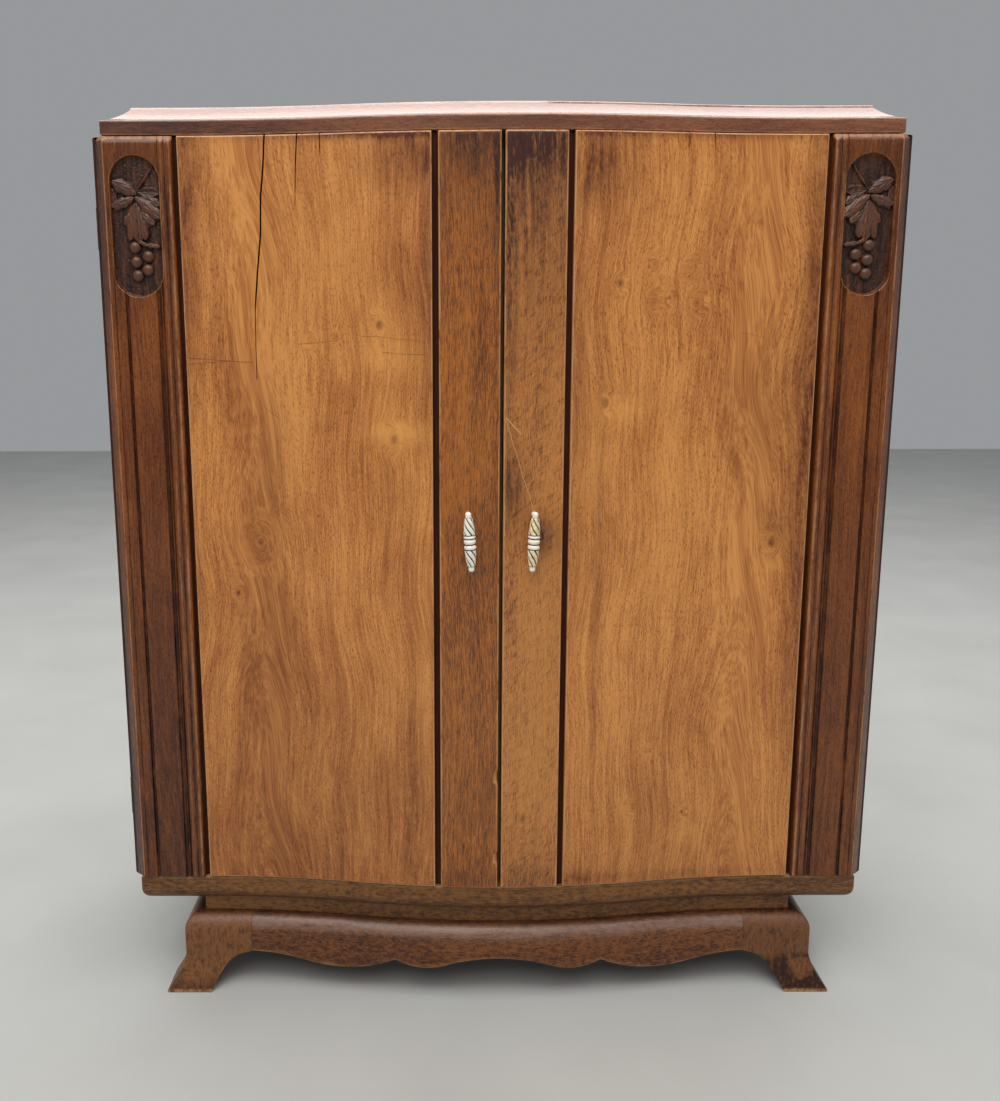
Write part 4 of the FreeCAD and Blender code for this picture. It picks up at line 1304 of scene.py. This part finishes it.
@dataclass
class Handle:
    """A moulded pull: plain rounded caps, two roped lengths and three rings at the middle."""

    end: str
    ivory: Plastic
    lean: float
    gilt: float
    offset: float = 0.052
    level: float = 0.842
    half: float = 0.0495
    cap_start: float = 0.0405
    ring_start: float = 0.0120
    ring_radius: float = 0.0099
    ring_groove: float = 0.0072
    rope_ends: float = 0.0058
    rope_swell: float = 0.0036
    cap_radius: float = 0.0049
    axis_depth: float = 0.010
    strands: int = 5
    lead: float = 0.072
    groove: float = 0.24
    rings: Pairs = (
        (0.0086, 0.0021), (0.0010, 0.0037), (-0.0086, 0.0036))
    posts: tuple[float, ...] = (-0.042, 0.042)

    def radius(self, along: Array) -> Array:
        """Radius of the turned shape at a height: cap, swelling rope, then three rounded rings.

        Args:
            along: Distances along the pull from its middle, in metres.

        Returns:
            The radius at each, in metres.
        """
        reach = np.abs(along)
        share = (reach - self.ring_start) / (self.cap_start - self.ring_start)
        rope = self.rope_ends + self.rope_swell * np.cos(share * 1.45)
        tip = np.clip((reach - (self.half - 0.004)) / 0.004, 0.0, 1.0)
        cap = self.cap_radius * np.sqrt(1.0 - 0.96 * np.square(tip))
        neck = 0.0008 * bell(reach, self.cap_start, 0.0008)
        body = np.where(reach > self.cap_start, cap, rope) - neck
        rings = np.full_like(along, self.ring_groove)
        for middle, half in self.rings:
            bulge = np.sqrt(np.clip(1.0 - np.square((along - middle) / half), 0.0, 1.0))
            rings = np.maximum(rings, self.ring_groove + (self.ring_radius - self.ring_groove) * bulge)
        return np.where(reach < self.ring_start, rings, body)

    def skin(self) -> Skin:
        """Rings round the axis: radius less a sharp valley between strands that climb the lead.

        Returns:
            The closed skin.
        """
        ends = self.half * np.sin(np.linspace(1.2, math.pi / 2, 10))
        along = stations(-self.half, self.half, 0.0006, 0.0, np.concatenate([ends, -ends]))
        turn = np.linspace(0.0, 2 * math.pi, 72, endpoint=False)
        around, height = np.meshgrid(turn, along)
        reach = np.abs(height)
        roped = smooth(reach, self.ring_start, self.ring_start + 0.001)
        roped = roped * (1 - smooth(reach, self.cap_start - 0.0015, self.cap_start - 0.0003))
        phase = self.strands * (around / 2 + math.pi * height / self.lead)
        valley = (1.0 - np.abs(np.sin(phase))) ** 2.6 * roped
        radius = self.radius(height) * (1.0 - self.groove * valley)
        local = np.stack([radius * np.cos(around), radius * np.sin(around), height], -1)
        gaps = bell(height, 0.0055, 0.0009) + bell(height, -0.0038, 0.0011) + bell(reach, 0.0120, 0.0008)
        gaps = gaps + 0.7 * bell(reach, self.cap_start - 0.0006, 0.0006)
        # Darker in the rope's valleys, the gaps between the rings and the caps' necks.
        marks = {"dirt": np.clip(1.5 * smooth(valley, 0.15, 0.6) + gaps, 0.0, 1.0),
                 "gilt": self.gilt * roped}
        return Skin(self.placed(local), np.stack([around, height], -1), marks)

    def post(self, along: float, stile_y: float, axis_y: float) -> Skin:
        """A short turned post from the pull's axis to the stile, flared at its foot.

        Args:
            along: Place of the post along the pull, in metres.
            stile_y: y of the stile's face.
            axis_y: y of the pull's axis.

        Returns:
            The closed skin.
        """
        share = stations(0.0, 1.0, 0.1, 0.0)
        turn = np.linspace(0.0, 2 * math.pi, 24, endpoint=False)
        around, reach = np.meshgrid(turn, share)
        radius = 0.0034 + 0.0016 * smooth(reach, 0.8, 1.0)
        local = np.stack([radius * np.cos(around), reach * (stile_y - axis_y),
                          along + radius * np.sin(around)], -1)
        # Darker towards the post's foot at the stile.
        dirt = smooth(reach, 0.5, 1.0)
        return Skin(self.placed(local), np.stack([around, reach], -1), {"dirt": 0.4 * dirt})

    def placed(self, local: Array) -> Array:
        """Lean points about the axis that runs front to back, and carry them to the handle's place.

        Args:
            local: Points about the pull's own middle.

        Returns:
            The points in the frame.
        """
        angle = math.radians(self.lean)
        x, y, z = np.moveaxis(local, -1, 0)
        axis_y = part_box(f"handle_{self.end}")[0][1] + self.axis_depth
        return np.stack([SIDES[self.end] * self.offset + x * math.cos(angle) + z * math.sin(angle),
                         axis_y + y, self.level - x * math.sin(angle) + z * math.cos(angle)], -1)

    def build(self) -> None:
        """Build the pull with its posts and fit it to its door."""
        low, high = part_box(f"handle_{self.end}")
        posts = [self.post(along, high[1] + 0.0005, low[1] + self.axis_depth) for along in self.posts]
        piece = build_piece(f"pull_{self.end}", [self.skin(), *posts], crease=60.0)
        fit(piece, f"{self.end}_door", self.ivory.make(), [f"handle_{self.end}"])


# ---------------------------------------------------------------- top

@dataclass
class Top:
    """The cap board with its rounded arrises, and the hollow cove that frames the lid."""

    half: float = 0.637
    set_back: float = 0.007
    cove_width: float = 0.052
    hollow: Pairs = ((0.002, 0.0006), (0.019, 0.0083), (0.038, 0.0235))
    lip: float = 0.0275
    arris: float = 0.0014
    stains: Triples = (
        (0.02, 0.10, 0.4), (0.40, 0.06, 0.35), (-0.5, 0.22, 0.8))

    def build_cap(self) -> None:
        """Build the cap board: plan rings drawn in at both arrises."""
        low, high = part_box("top_cap")
        z = stations(low[2], high[2], 0.004, self.arris)
        inset = rounding(np.minimum(z - low[2], high[2] - z), self.arris)
        skin = plan_rings(self.half, self.set_back, high[1], z, inset)
        edge = np.minimum(z - low[2], high[2] - z)[:, None] * np.ones(skin.points.shape[1])
        skin.marks["wear"] = np.clip(1.0 - edge / 0.003, 0.0, 1.0)
        x = skin.points[..., 0]
        skin.marks["stain"] = sum(amount * bell(x, middle, width) for middle, width, amount in self.stains)
        fit(build_piece("cap_board", [skin]), "carcass", TOP_WALNUT.make(), ["top_cap"])

    def section(self) -> tuple[Array, Array]:
        """Runs and rises of the cove: a small fillet, a hollow arc, a lip and a flat crown.

        Returns:
            The runs and the rises.
        """
        runs = np.linspace(self.hollow[0][0], self.hollow[2][0], 18)
        rises = arc_through(runs, *self.hollow)
        run = np.concatenate([[0.0, 0.0006], runs,
                              [0.0386, 0.0396, 0.041, self.cove_width, self.cove_width]])
        rise = np.concatenate([[0.0, 0.0005], rises,
                               [self.lip - 0.0012, self.lip - 0.0002, self.lip, self.lip, 0.0]])
        return run, rise

    def build_cove(self) -> None:
        """Build the three coves: each point of the section runs parallel to the edge, to its mitre.

        On the front, x = share * (half - run) and y = the bowed face at the set back plus run.
        """
        run, rise = self.section()
        foot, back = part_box("cove_front")[0][2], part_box("cove_left")[1][1]
        share = np.linspace(-1.0, 1.0, 181)[:, None]
        x = share * (self.half - run)
        y = BOW.face(x, self.set_back + run)
        z = np.broadcast_to(foot + rise, x.shape)
        skins = {"front": np.stack([x, y, z], -1)}
        share = np.linspace(0.0, 1.0, 60)[:, None]
        start = BOW.plane + self.set_back + run
        for end, side in SIDES.items():
            y = start + share * (back - start)
            x = np.broadcast_to(side * (self.half - run), y.shape)
            skins[end] = np.stack([x, y, np.broadcast_to(foot + rise, y.shape)], -1)
        for end, points in skins.items():
            crest = bell(run, 0.0396, 0.0016) + 0.7 * bell(run, 0.0, 0.0015)
            wear = np.broadcast_to(np.clip(crest, 0.0, 1.0), points.shape[:2])
            along = points[..., 0] if end == "front" else points[..., 1]
            grain = np.stack([np.broadcast_to(run + rise, along.shape), along], -1)
            piece = build_piece(f"cove_moulding_{end}", [Skin(points, grain, {"wear": wear})], crease=30.0)
            fit(piece, "carcass", COVE_WALNUT.make(), [f"cove_{end}"])

    def build(self) -> None:
        """Build the cap and the cove, and finish the lid."""
        self.build_cap()
        self.build_cove()
        refinish(["top_panel"], TOP_WALNUT.make())


# ---------------------------------------------------------------- base

@dataclass
class Base:
    """The rounded base board, the scalloped apron with its rolled shoulder, and the splayed feet."""

    base_half: float = 0.641
    base_set: float = 0.007
    base_round: float = 0.026
    apron_set: float = 0.006
    apron_thick: float = 0.044
    shoulder: float = 0.027
    seam: float = 0.446
    seam_width: float = 0.0008
    foot_half: float = 0.568
    splay: float = 0.033
    toe_reach: float = 0.021
    upright: float = 0.066
    wing_run: float = 0.120
    wall: float = 0.040
    scallop: Pairs = (
        (0.0, 0.079), (0.095, 0.0635), (0.184, 0.0713), (0.352, 0.0575), (0.446, 0.0705))
    scallop_via: Pairs = (
        (0.047, 0.075), (0.133, 0.0576), (0.276, 0.0484), (0.400, 0.0666))
    arch: Pairs = ((0.0, 0.0705), (0.022, 0.0645), (0.040, 0.053), (0.060, 0.026),
                                             (0.074, 0.0))

    def build_board(self) -> None:
        """Build the base board: its rings draw in along a quarter circle towards the underside."""
        low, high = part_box("base_board")
        turn = np.linspace(0.0, math.pi / 2, 12)
        z = np.concatenate([low[2] + self.base_round * (1 - np.cos(turn)),
                            [high[2] - 0.010, high[2] - 0.003, high[2] - 0.0015, high[2] - 0.0004, high[2]]])
        inset = rounding(z - low[2], self.base_round) + rounding(high[2] - z, 0.003)
        skin = plan_rings(self.base_half, self.base_set, high[1], z, inset)
        up = np.broadcast_to((high[2] - z)[:, None], skin.points.shape[:2])
        skin.marks["wear"] = np.clip(1.1 - up / 0.007, 0.0, 1.0) * 0.9
        # Painted shade: the board darkens from 24 mm below its top down over the rounded underside that
        # faces the floor, with a dark line 4 mm below the top.
        skin.marks["stain"] = 0.6 * smooth(up, 0.024, 0.046) + 0.25 * bell(up, 0.004, 0.004)
        fit(build_piece("base_board_rounded", [skin]), "carcass", BASE_WALNUT.make(),
            ["base_board"])

    def lower_edge(self, x: Array) -> Array:
        """Height of the apron's scalloped edge: an arc between each pair of points.

        Args:
            x: Places across, in metres.

        Returns:
            The height of the edge at each place.
        """
        reach = np.abs(x)
        height = np.full_like(reach, self.scallop[-1][1])
        for start, end, via in zip(self.scallop, self.scallop[1:], self.scallop_via):
            inside = (reach >= start[0]) & (reach <= end[0])
            height = np.where(inside, arc_through(reach, start, via, end), height)
        return height

    def apron_section(self, low: Array) -> tuple[Array, Array]:
        """Depths and heights round the apron board: rounded lower arris, face, shoulder, top and back.

        Args:
            low: Height of the lower edge at each place along the board.

        Returns:
            The depths and the heights, one row for each place.
        """
        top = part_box("apron_front")[1][2]
        turn = np.linspace(0.0, math.pi / 2, 11)
        arris = 0.0025
        shoulder_foot = top - self.shoulder
        small = np.linspace(0.0, math.pi / 2, 5)
        depth = np.concatenate([[self.apron_thick], arris * (1 - np.sin(small)), [0.0, 0.0],
                                self.shoulder * (1 - np.cos(turn)), [self.apron_thick]])
        lower = low[:, None]
        rise = np.concatenate([lower, lower + arris * (1 - np.cos(small)),
                               0.5 * (lower + shoulder_foot), 0.2 * lower + 0.8 * shoulder_foot,
                               np.broadcast_to(shoulder_foot + self.shoulder * np.sin(turn),
                                               (len(low), len(turn))),
                               np.full_like(lower, top)], 1)
        return np.broadcast_to(depth, rise.shape), rise

    def sheen(self, height: Array) -> Array:
        """Painted sheen: where the rolled shoulder is drawn pale, as a highlight from the light above."""
        return bell(height, 0.126, 0.010)

    def shade(self, height: Array) -> Array:
        """Painted shadow on the top of the shoulder, under the plinth."""
        return 0.7 * smooth(height, 0.133, 0.138)

    def build_aprons(self) -> None:
        """Build the front apron along the bow, and the straight side aprons between the feet."""
        near = [side * (self.seam - gap) for side in (-1, 1) for gap in (0.0009, 0.002)]
        x = stations(-self.seam, self.seam, 0.004, 0.0, [place for place, _ in self.scallop] + near)
        depth, rise = self.apron_section(self.lower_edge(x))
        across = np.broadcast_to(x[:, None], depth.shape)
        points = np.stack([across, BOW.face(across, self.apron_set + depth), rise], -1)
        grain = np.stack([rise + depth, across], -1)
        sheen = np.clip(1.05 * self.sheen(rise), 0.0, 1.0)
        wear = bell(rise - rise[:, :1], 0.001, 0.002) * (depth < 0.02)
        seam = bell(np.abs(across), self.seam, self.seam_width)
        # The glow is the painted sheen on the shoulder, and shade is the painted shadow under the plinth.
        marks = {"glow": sheen, "stain": self.shade(rise), "wear": 0.8 * wear, "split": 0.5 * seam}
        skin = Skin(points, grain, marks)
        fit(build_piece("apron_scalloped", [skin]), "carcass", APRON_WALNUT.make(),
            ["apron_front"])
        low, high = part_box("apron_left")
        y = stations(low[1], high[1], 0.02)
        depth, rise = self.apron_section(np.full_like(y, low[2]))
        along = np.broadcast_to(y[:, None], depth.shape)
        for end, side in SIDES.items():
            points = np.stack([side * (self.foot_half - depth), along, rise], -1)
            # Painted sheen along the side aprons' shoulder.
            marks = {"glow": 0.3 * smooth(rise, 0.108, 0.124)}
            skin = Skin(points, np.stack([rise + depth, along], -1), marks)
            fit(build_piece(f"apron_side_{end}", [skin]), "carcass", APRON_WALNUT.make(),
                [f"apron_{end}"])

    def arch_reach(self, z: Array) -> Array:
        """How far the arched inner edge has moved from the seam at each height.

        The arch is the smooth quartic height(reach) through its points, read the other way.

        Args:
            z: Heights, in metres.

        Returns:
            The distance out from the seam, in metres.
        """
        places, heights = np.array(self.arch).T
        reach = np.linspace(0.0, places[-1], 200)
        height = np.polyval(np.polyfit(places, heights, len(places) - 1), reach)
        return np.interp(-z, -height, reach, left=0.0)

    def foot_heights(self) -> Array:
        """Heights of a foot's rings, crowded at the toe, the top of the arch and the shoulder.

        Returns:
            The heights, rising.
        """
        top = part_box("foot_front_left")[1][2]
        arch_top = self.arch[0][1]
        near_arch = arch_top - 0.006 * np.linspace(0.0, 1.0, 8) ** 2
        turn = np.linspace(0.0, math.pi / 2, 10)
        return stations(0.0, top, 0.005, 0.003, np.concatenate([
            near_arch, top - self.shoulder + self.shoulder * np.sin(turn)]))

    def foot_depths(self, z: Array, front: bool, spread: Array, fall: Array) -> tuple[Array, Array, Array]:
        """y of a foot's outer face, of its hollow side and of its wing's end at each height.

        Args:
            z: Heights of the rings.
            front: Whether the foot is a front one.
            spread: Share of the splay at each height.
            fall: How far the shoulder and the toe fall back.

        Returns:
            The three depths.
        """
        reach = self.arch_reach(z)
        if front:
            face = BOW.plane + self.apron_set
            return (face - self.toe_reach * spread + fall, np.full_like(z, face + self.apron_thick),
                    face + self.wing_run - reach)
        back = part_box("foot_rear_left")[1][1]
        return np.full_like(z, back), np.full_like(z, back - self.wall), back - self.wing_run + reach

    def foot_skin(self, side: int, front: bool) -> Skin:
        """Rings of a bracket foot: an L in plan with a rounded outer corner at each height.

        The outer faces splay out below the upright part as ((upright - z) / upright)^1.58, and
        fall back over the shoulder's quarter circle. The wings end at the arch.

        Args:
            side: -1 for the left foot and 1 for the right one.
            front: Whether the foot is a front one.

        Returns:
            The closed skin.
        """
        z = self.foot_heights()
        spread = np.clip((self.upright - z) / self.upright, 0.0, 1.0) ** 1.58
        fall = rounding(z[-1] - z, self.shoulder) + rounding(z, 0.0025)
        outer_x = self.foot_half + self.splay * spread - fall
        seam_x = self.seam + self.arch_reach(z)
        hollow_x = np.full_like(z, self.foot_half - self.wall)
        outer_y, hollow_y, wing_y = self.foot_depths(z, front, spread, fall)
        inward = 1.0 if front else -1.0
        turn = np.linspace(0.0, math.pi / 2, 5)
        radius = 0.004 if front else 0.001
        steps = np.array([0.0, 0.01, 0.022, 0.2, 0.4, 0.6, 0.8, 1.0])[None, :]
        corner_x = (outer_x - radius)[:, None] + radius * np.sin(turn)
        corner_y = (outer_y + inward * radius)[:, None] - inward * radius * np.cos(turn)
        front_x = seam_x[:, None] * (1 - steps) + corner_x[:, :1] * steps
        side_y = corner_y[:, -1:] * (1 - steps) + wing_y[:, None] * steps
        side_x = np.broadcast_to(corner_x[:, -1:], side_y.shape)
        front_y = np.broadcast_to(corner_y[:, :1], front_x.shape)
        x = np.concatenate([front_x[:, :-1], corner_x, side_x[:, 1:], hollow_x[:, None],
                            hollow_x[:, None], seam_x[:, None]], 1)
        y = np.concatenate([front_y[:, :-1], corner_y, side_y[:, 1:], wing_y[:, None],
                            hollow_y[:, None], hollow_y[:, None]], 1)
        height = np.broadcast_to(z[:, None], x.shape)
        return Skin(np.stack([x * side, y, height], -1), np.stack([height + y, x * side], -1),
                    self.foot_marks(side, x, height))

    def foot_marks(self, side: int, x: Array, height: Array) -> dict[str, Array]:
        """Marks of a foot: dark toes, the painted sheen on the shoulder, the painted shadow under the
        plinth, and on the right a stained knee and a bare oval patch with a rim.

        Args:
            side: -1 for the left foot and 1 for the right one.
            x: Places across before mirroring, in metres.
            height: Heights, in metres.

        Returns:
            Each mark at each point.
        """
        right = side > 0
        toe = smooth(-height, -0.034, -0.004)
        knee = (0.9 if right else 0.1) * smooth(-height, -0.070, -0.045)
        # shade adds the dark toes and the stained knee to the painted shadow under the plinth.
        shade = 0.5 * toe + self.shade(height) + knee
        oval = np.hypot((x - 0.553) / 0.026, (height - 0.040) / 0.022)
        rim = 0.9 * bell(oval, 1.0, 0.12) * right
        seam = bell(x, self.seam, self.seam_width) * (height > self.arch[0][1])
        # The glow is the painted sheen on the foot's shoulder.
        return {"glow": 0.65 * self.sheen(height),
                "stain": np.clip(shade * (oval > 1.0) + rim + 0.25 * right, 0.0, 1.0),
                "wear": 0.25 * toe + 0.6 * bell(height, 0.002, 0.002), "split": 0.45 * seam}

    def build_feet(self) -> None:
        """Build the four feet."""
        for end, side in SIDES.items():
            for place in ("front", "rear"):
                name = f"foot_{place}_{end}"
                piece = build_piece(f"{name}_carved", [self.foot_skin(side, place == "front")])
                fit(piece, "carcass", FOOT_WALNUT.make(), [name])

    def build(self) -> None:
        """Build every piece of the base and finish its plinth."""
        self.build_board()
        self.build_aprons()
        self.build_feet()
        refinish(["plinth_front", *pair("plinth")], BASE_WALNUT.make())


# ---------------------------------------------------------------- carcass and fittings

@dataclass(frozen=True)
class Fittings:
    """Nodes of the frame whose shapes are right, and which share one finish."""

    finish: Wood | Metal
    nodes: tuple[str, ...]

    def build(self) -> None:
        """Finish the nodes."""
        refinish(self.nodes, self.finish.make())


CARCASS = (
    Fittings(SIDE_WALNUT, pair("side_panel", "front_post", "rear_post")),
    Fittings(INSIDE_POPLAR, ("partition", "back_muntin", "rear_rail", "glue_blocks")),
    Fittings(SHELF_POPLAR, ("hat_shelf", "shelf_lower", "shelf_middle", "shelf_upper", "shelf_cleats")),
    Fittings(BACK_PLYWOOD, pair("back_panel")),
    Fittings(HINGE_STEEL, pair("hinge_leaves", "moving_leaves", "hinge_pins")),
    Fittings(SCREW_STEEL, ("hinge_screws_carcass", *pair("hinge_screws", "handle_screws", "strike"))),
    Fittings(RAIL_STEEL, ("hanging_rail", "rail_sockets", "door_catches")),
    Fittings(CORE_WALNUT, pair("door_core")))


# ---------------------------------------------------------------- floor, light and camera

@dataclass(frozen=True)
class Lamp:
    """A square area light: where it hangs, how it is turned in degrees, its side and its power."""

    name: str
    place: tuple[float, float, float]
    turn: tuple[float, float, float]
    size: float
    power: float
    colour: tuple[float, float, float] = (1.0, 0.985, 0.96)

    def build(self) -> None:
        """Hang the lamp."""
        lamp = bpy.data.lights.new(self.name, "AREA")
        lamp.size, lamp.energy, lamp.color = self.size, self.power, self.colour
        holder = bpy.data.objects.new(self.name, lamp)
        holder.location = self.place
        holder.rotation_euler = [math.radians(angle) for angle in self.turn]
        bpy.context.collection.objects.link(holder)


@dataclass(frozen=True)
class Studio:
    """A pale floor, soft light from above and in front, and the camera."""

    floor_half: float = 9.0
    floor: str = "#b6b7b4"
    floor_cloud: str = "#bfc0bd"
    sky: str = "#eef1f5"
    sky_strength: float = 0.36
    camera_place: tuple[float, float, float] = (-0.085, -1.841, 1.1637)
    camera_turn: tuple[float, float, float] = (0.15, 80.14, -0.16)
    lens: float = 32.73
    shift: tuple[float, float] = (0.0482, -0.0318)
    lamps: tuple[Lamp, ...] = (
        Lamp("front_light", (-0.8, -4.0, 5.6), (41.0, 0.0, -10.0), 4.0, 150.0),
        Lamp("overhead_light", (0.0, 0.3, 4.8), (0.0, 0.0, 0.0), 7.0, 285.0))

    def lay_floor(self) -> None:
        """Lay the floor."""
        half = self.floor_half
        mesh = bpy.data.meshes.new("floor")
        mesh.from_pydata([(-half, -half, 0), (half, -half, 0), (half, half, 0), (-half, half, 0)], [],
                         [(0, 1, 2, 3)])
        material, tree, shader = new_material("pale_matt_floor")
        place = add(tree, "TexCoord", out="Object")
        cloud = add(tree, "TexNoise", named={"Vector": place, "Scale": 2.5, "Detail": 6.0})
        tone = add(tree, "MapRange", cloud, 0.3, 0.7)
        colour = mix(tree, tone, linear(self.floor), linear(self.floor_cloud))
        tree.links.new(colour, shader.inputs["Base Color"])
        shader.inputs["Roughness"].default_value = 0.85
        mesh.materials.append(material)
        floor = bpy.data.objects.new("floor", mesh)
        bpy.context.collection.objects.link(floor)

    def light(self) -> None:
        """Light the room with a pale sky, a broad front light and an overhead one."""
        world = bpy.data.worlds.new("studio")
        bpy.context.scene.world = world
        world.use_nodes = True
        background = world.node_tree.nodes["Background"]
        background.inputs["Color"].default_value = linear(self.sky)
        background.inputs["Strength"].default_value = self.sky_strength
        for lamp in self.lamps:
            lamp.build()

    def place_camera(self) -> None:
        """Place the camera, turned by pan, tilt and roll."""
        data = bpy.data.cameras.new("camera")
        data.sensor_width, data.lens = 36.0, self.lens
        data.shift_x, data.shift_y = self.shift
        camera = bpy.data.objects.new("camera", data)
        pan, tilt, roll = (math.radians(angle) for angle in self.camera_turn)
        turn = Matrix.Rotation(pan, 4, "Z") @ Matrix.Rotation(tilt, 4, "X") @ Matrix.Rotation(roll, 4, "Z")
        camera.matrix_world = Matrix.Translation(self.camera_place) @ turn
        bpy.context.collection.objects.link(camera)
        bpy.context.scene.camera = camera

    def build(self) -> None:
        """Build the whole studio, shown in plain colour with no film curve."""
        bpy.context.scene.view_settings.view_transform = "Standard"
        self.lay_floor()
        self.light()
        self.place_camera()


# ---------------------------------------------------------------- the armoire

LEFT_KNOTS = (
    Knot(-0.197, 1.190, 0.018, 0.6, 0.7, 0.35), Knot(-0.267, 1.171, 0.008, 0.5, 0.9),
    Knot(-0.309, 1.166, 0.012, 0.6, 0.15, 0.2), Knot(-0.175, 1.007, 0.022, 0.7, 0.5, 0.5),
    Knot(-0.445, 0.743, 0.012, 0.7, 1.0, 0.1), Knot(-0.403, 0.832, 0.030, 0.6, 0.2),
    Knot(-0.258, 0.405, 0.009, 0.6, 0.35, 0.4), Knot(-0.323, 0.356, 0.012, 0.5, 0.3))
LEFT_PATCHES = (
    Patch(-0.165, 1.019, 0.060, 0.018, 0.85), Patch(-0.170, 1.140, 0.060, 0.030, 0.7),
    Patch(-0.290, 1.300, 0.110, 0.160, 0.35), Patch(-0.150, 1.450, 0.070, 0.050, -0.6),
    Patch(-0.116, 1.270, 0.022, 0.200, -0.5), Patch(-0.300, 1.486, 0.300, 0.010, -0.4),
    Patch(-0.200, 1.486, 0.120, 0.010, -0.9), Patch(-0.385, 0.940, 0.035, 0.160, -0.35),
    Patch(-0.500, 1.400, 0.035, 0.150, -0.4), Patch(-0.150, 0.900, 0.050, 0.080, 0.35),
    Patch(-0.505, 1.300, 0.012, 0.300, -0.35), Patch(-0.400, 0.650, 0.060, 0.150, -0.22),
    Patch(-0.300, 0.180, 0.400, 0.340, -0.5), Patch(-0.150, 0.500, 0.012, 0.300, -0.3),
    Patch(-0.128, 0.600, 0.012, 0.300, 0.35))
LEFT_SPLITS = (
    Split((1.105, 1.154, 1.215, 1.275, 1.334, 1.392, 1.432, 1.486),
          (-0.400, -0.400, -0.399, -0.393, -0.386, -0.384, -0.379, -0.375), 0.0015),
    Split((1.375, 1.431, 1.486), (-0.329, -0.327, -0.323), 0.0010),
    Split((1.452, 1.486), (-0.287, -0.287), 0.0007))
RIGHT_KNOTS = (
    Knot(0.242, 1.283, 0.018, 0.7, 0.35, 0.1), Knot(0.301, 1.278, 0.017, 0.7, 0.3, 0.1),
    Knot(0.241, 1.225, 0.018, 0.7, 0.35, 0.1), Knot(0.314, 1.224, 0.018, 0.7, 0.35, 0.1),
    Knot(0.269, 1.233, 0.010, 0.5, 0.3), Knot(0.187, 1.254, 0.014, 0.6, 0.7),
    Knot(0.168, 1.065, 0.018, 0.7, 0.4, 0.3), Knot(0.458, 0.829, 0.018, 0.6, 0.4, 0.2),
    Knot(0.254, 0.465, 0.009, 0.6, 0.35, 0.35), Knot(0.222, 0.361, 0.014, 0.6, 0.1, 0.5),
    Knot(0.322, 0.348, 0.010, 0.6, 0.7, 0.1))
RIGHT_PATCHES = (
    Patch(0.190, 1.055, 0.045, 0.016, 0.5), Patch(0.460, 0.790, 0.022, 0.020, 0.6),
    Patch(0.335, 0.309, 0.016, 0.020, 0.6), Patch(0.150, 1.440, 0.060, 0.070, -0.7),
    Patch(0.300, 1.486, 0.300, 0.010, -0.8), Patch(0.508, 1.250, 0.026, 0.300, -0.5),
    Patch(0.440, 1.050, 0.060, 0.120, -0.3), Patch(0.124, 1.150, 0.012, 0.300, -0.35),
    Patch(0.340, 1.400, 0.090, 0.060, 0.35), Patch(0.250, 0.950, 0.090, 0.120, 0.2),
    Patch(0.505, 0.800, 0.020, 0.400, -0.55), Patch(0.455, 0.860, 0.020, 0.040, -0.5),
    Patch(0.160, 0.750, 0.010, 0.400, -0.35), Patch(0.135, 0.700, 0.016, 0.500, 0.3),
    Patch(0.125, 0.235, 0.060, 0.020, -0.4), Patch(0.300, 0.230, 0.250, 0.012, -0.3),
    Patch(0.300, 0.180, 0.400, 0.260, -0.2))
RIGHT_SPLITS = (
    Split((1.458, 1.486), (0.292, 0.292), 0.0006), Split((1.450, 1.486), (0.335, 0.333), 0.0006))
LEFT_STILE_PATCHES = (
    Patch(-0.050, 1.500, 0.090, 0.130, -0.8), Patch(-0.006, 1.380, 0.010, 0.200, -0.6),
    Patch(-0.052, 0.840, 0.050, 0.060, -0.25), Patch(-0.050, 1.000, 0.040, 0.200, 0.2),
    Patch(-0.020, 0.400, 0.020, 0.080, -0.35), Patch(-0.060, 0.240, 0.050, 0.030, -0.4),
    Patch(-0.050, 0.450, 0.090, 0.250, 0.25))
LEFT_CHIPS = ((0.425, 0.012), (0.275, 0.010))
RIGHT_STILE_PATCHES = (
    Patch(0.050, 1.480, 0.080, 0.060, -0.7), Patch(0.050, 1.380, 0.090, 0.200, -0.55),
    Patch(0.010, 1.300, 0.016, 0.250, -0.6), Patch(0.070, 0.850, 0.030, 0.035, -0.8),
    Patch(0.020, 0.930, 0.018, 0.060, -0.75), Patch(0.080, 0.950, 0.030, 0.200, 0.35),
    Patch(0.060, 0.640, 0.050, 0.150, 0.4), Patch(0.060, 0.420, 0.050, 0.160, 0.6),
    Patch(0.050, 0.235, 0.060, 0.030, -0.4))


def main() -> None:
    """Build the armoire's pieces in order, then the studio."""
    logging.basicConfig(level=logging.INFO, format="%(message)s")
    panels = (
        Panel("left", LEFT_PANEL_WALNUT, Figure(-0.408, 0.2), LEFT_KNOTS, LEFT_PATCHES, LEFT_SPLITS),
        Panel("right", RIGHT_PANEL_WALNUT, Figure(0.408, 0.26), RIGHT_KNOTS, RIGHT_PATCHES, RIGHT_SPLITS))
    stiles = (Stile("left", LEFT_STILE_WALNUT, LEFT_STILE_PATCHES, LEFT_CHIPS),
              Stile("right", RIGHT_STILE_WALNUT, RIGHT_STILE_PATCHES))
    handles = (Handle("left", LEFT_IVORY, -3.4, 0.35), Handle("right", RIGHT_IVORY, 2.6, 0.9))
    pilasters = (Pilaster("left", low_stain=0.6), Pilaster("right", low_stain=0.4))
    for part in (*panels, *stiles, *pilasters, *handles, Top(), Base(), *CARCASS, Studio()):
        part.build()


if __name__ == "__main__":
    main()
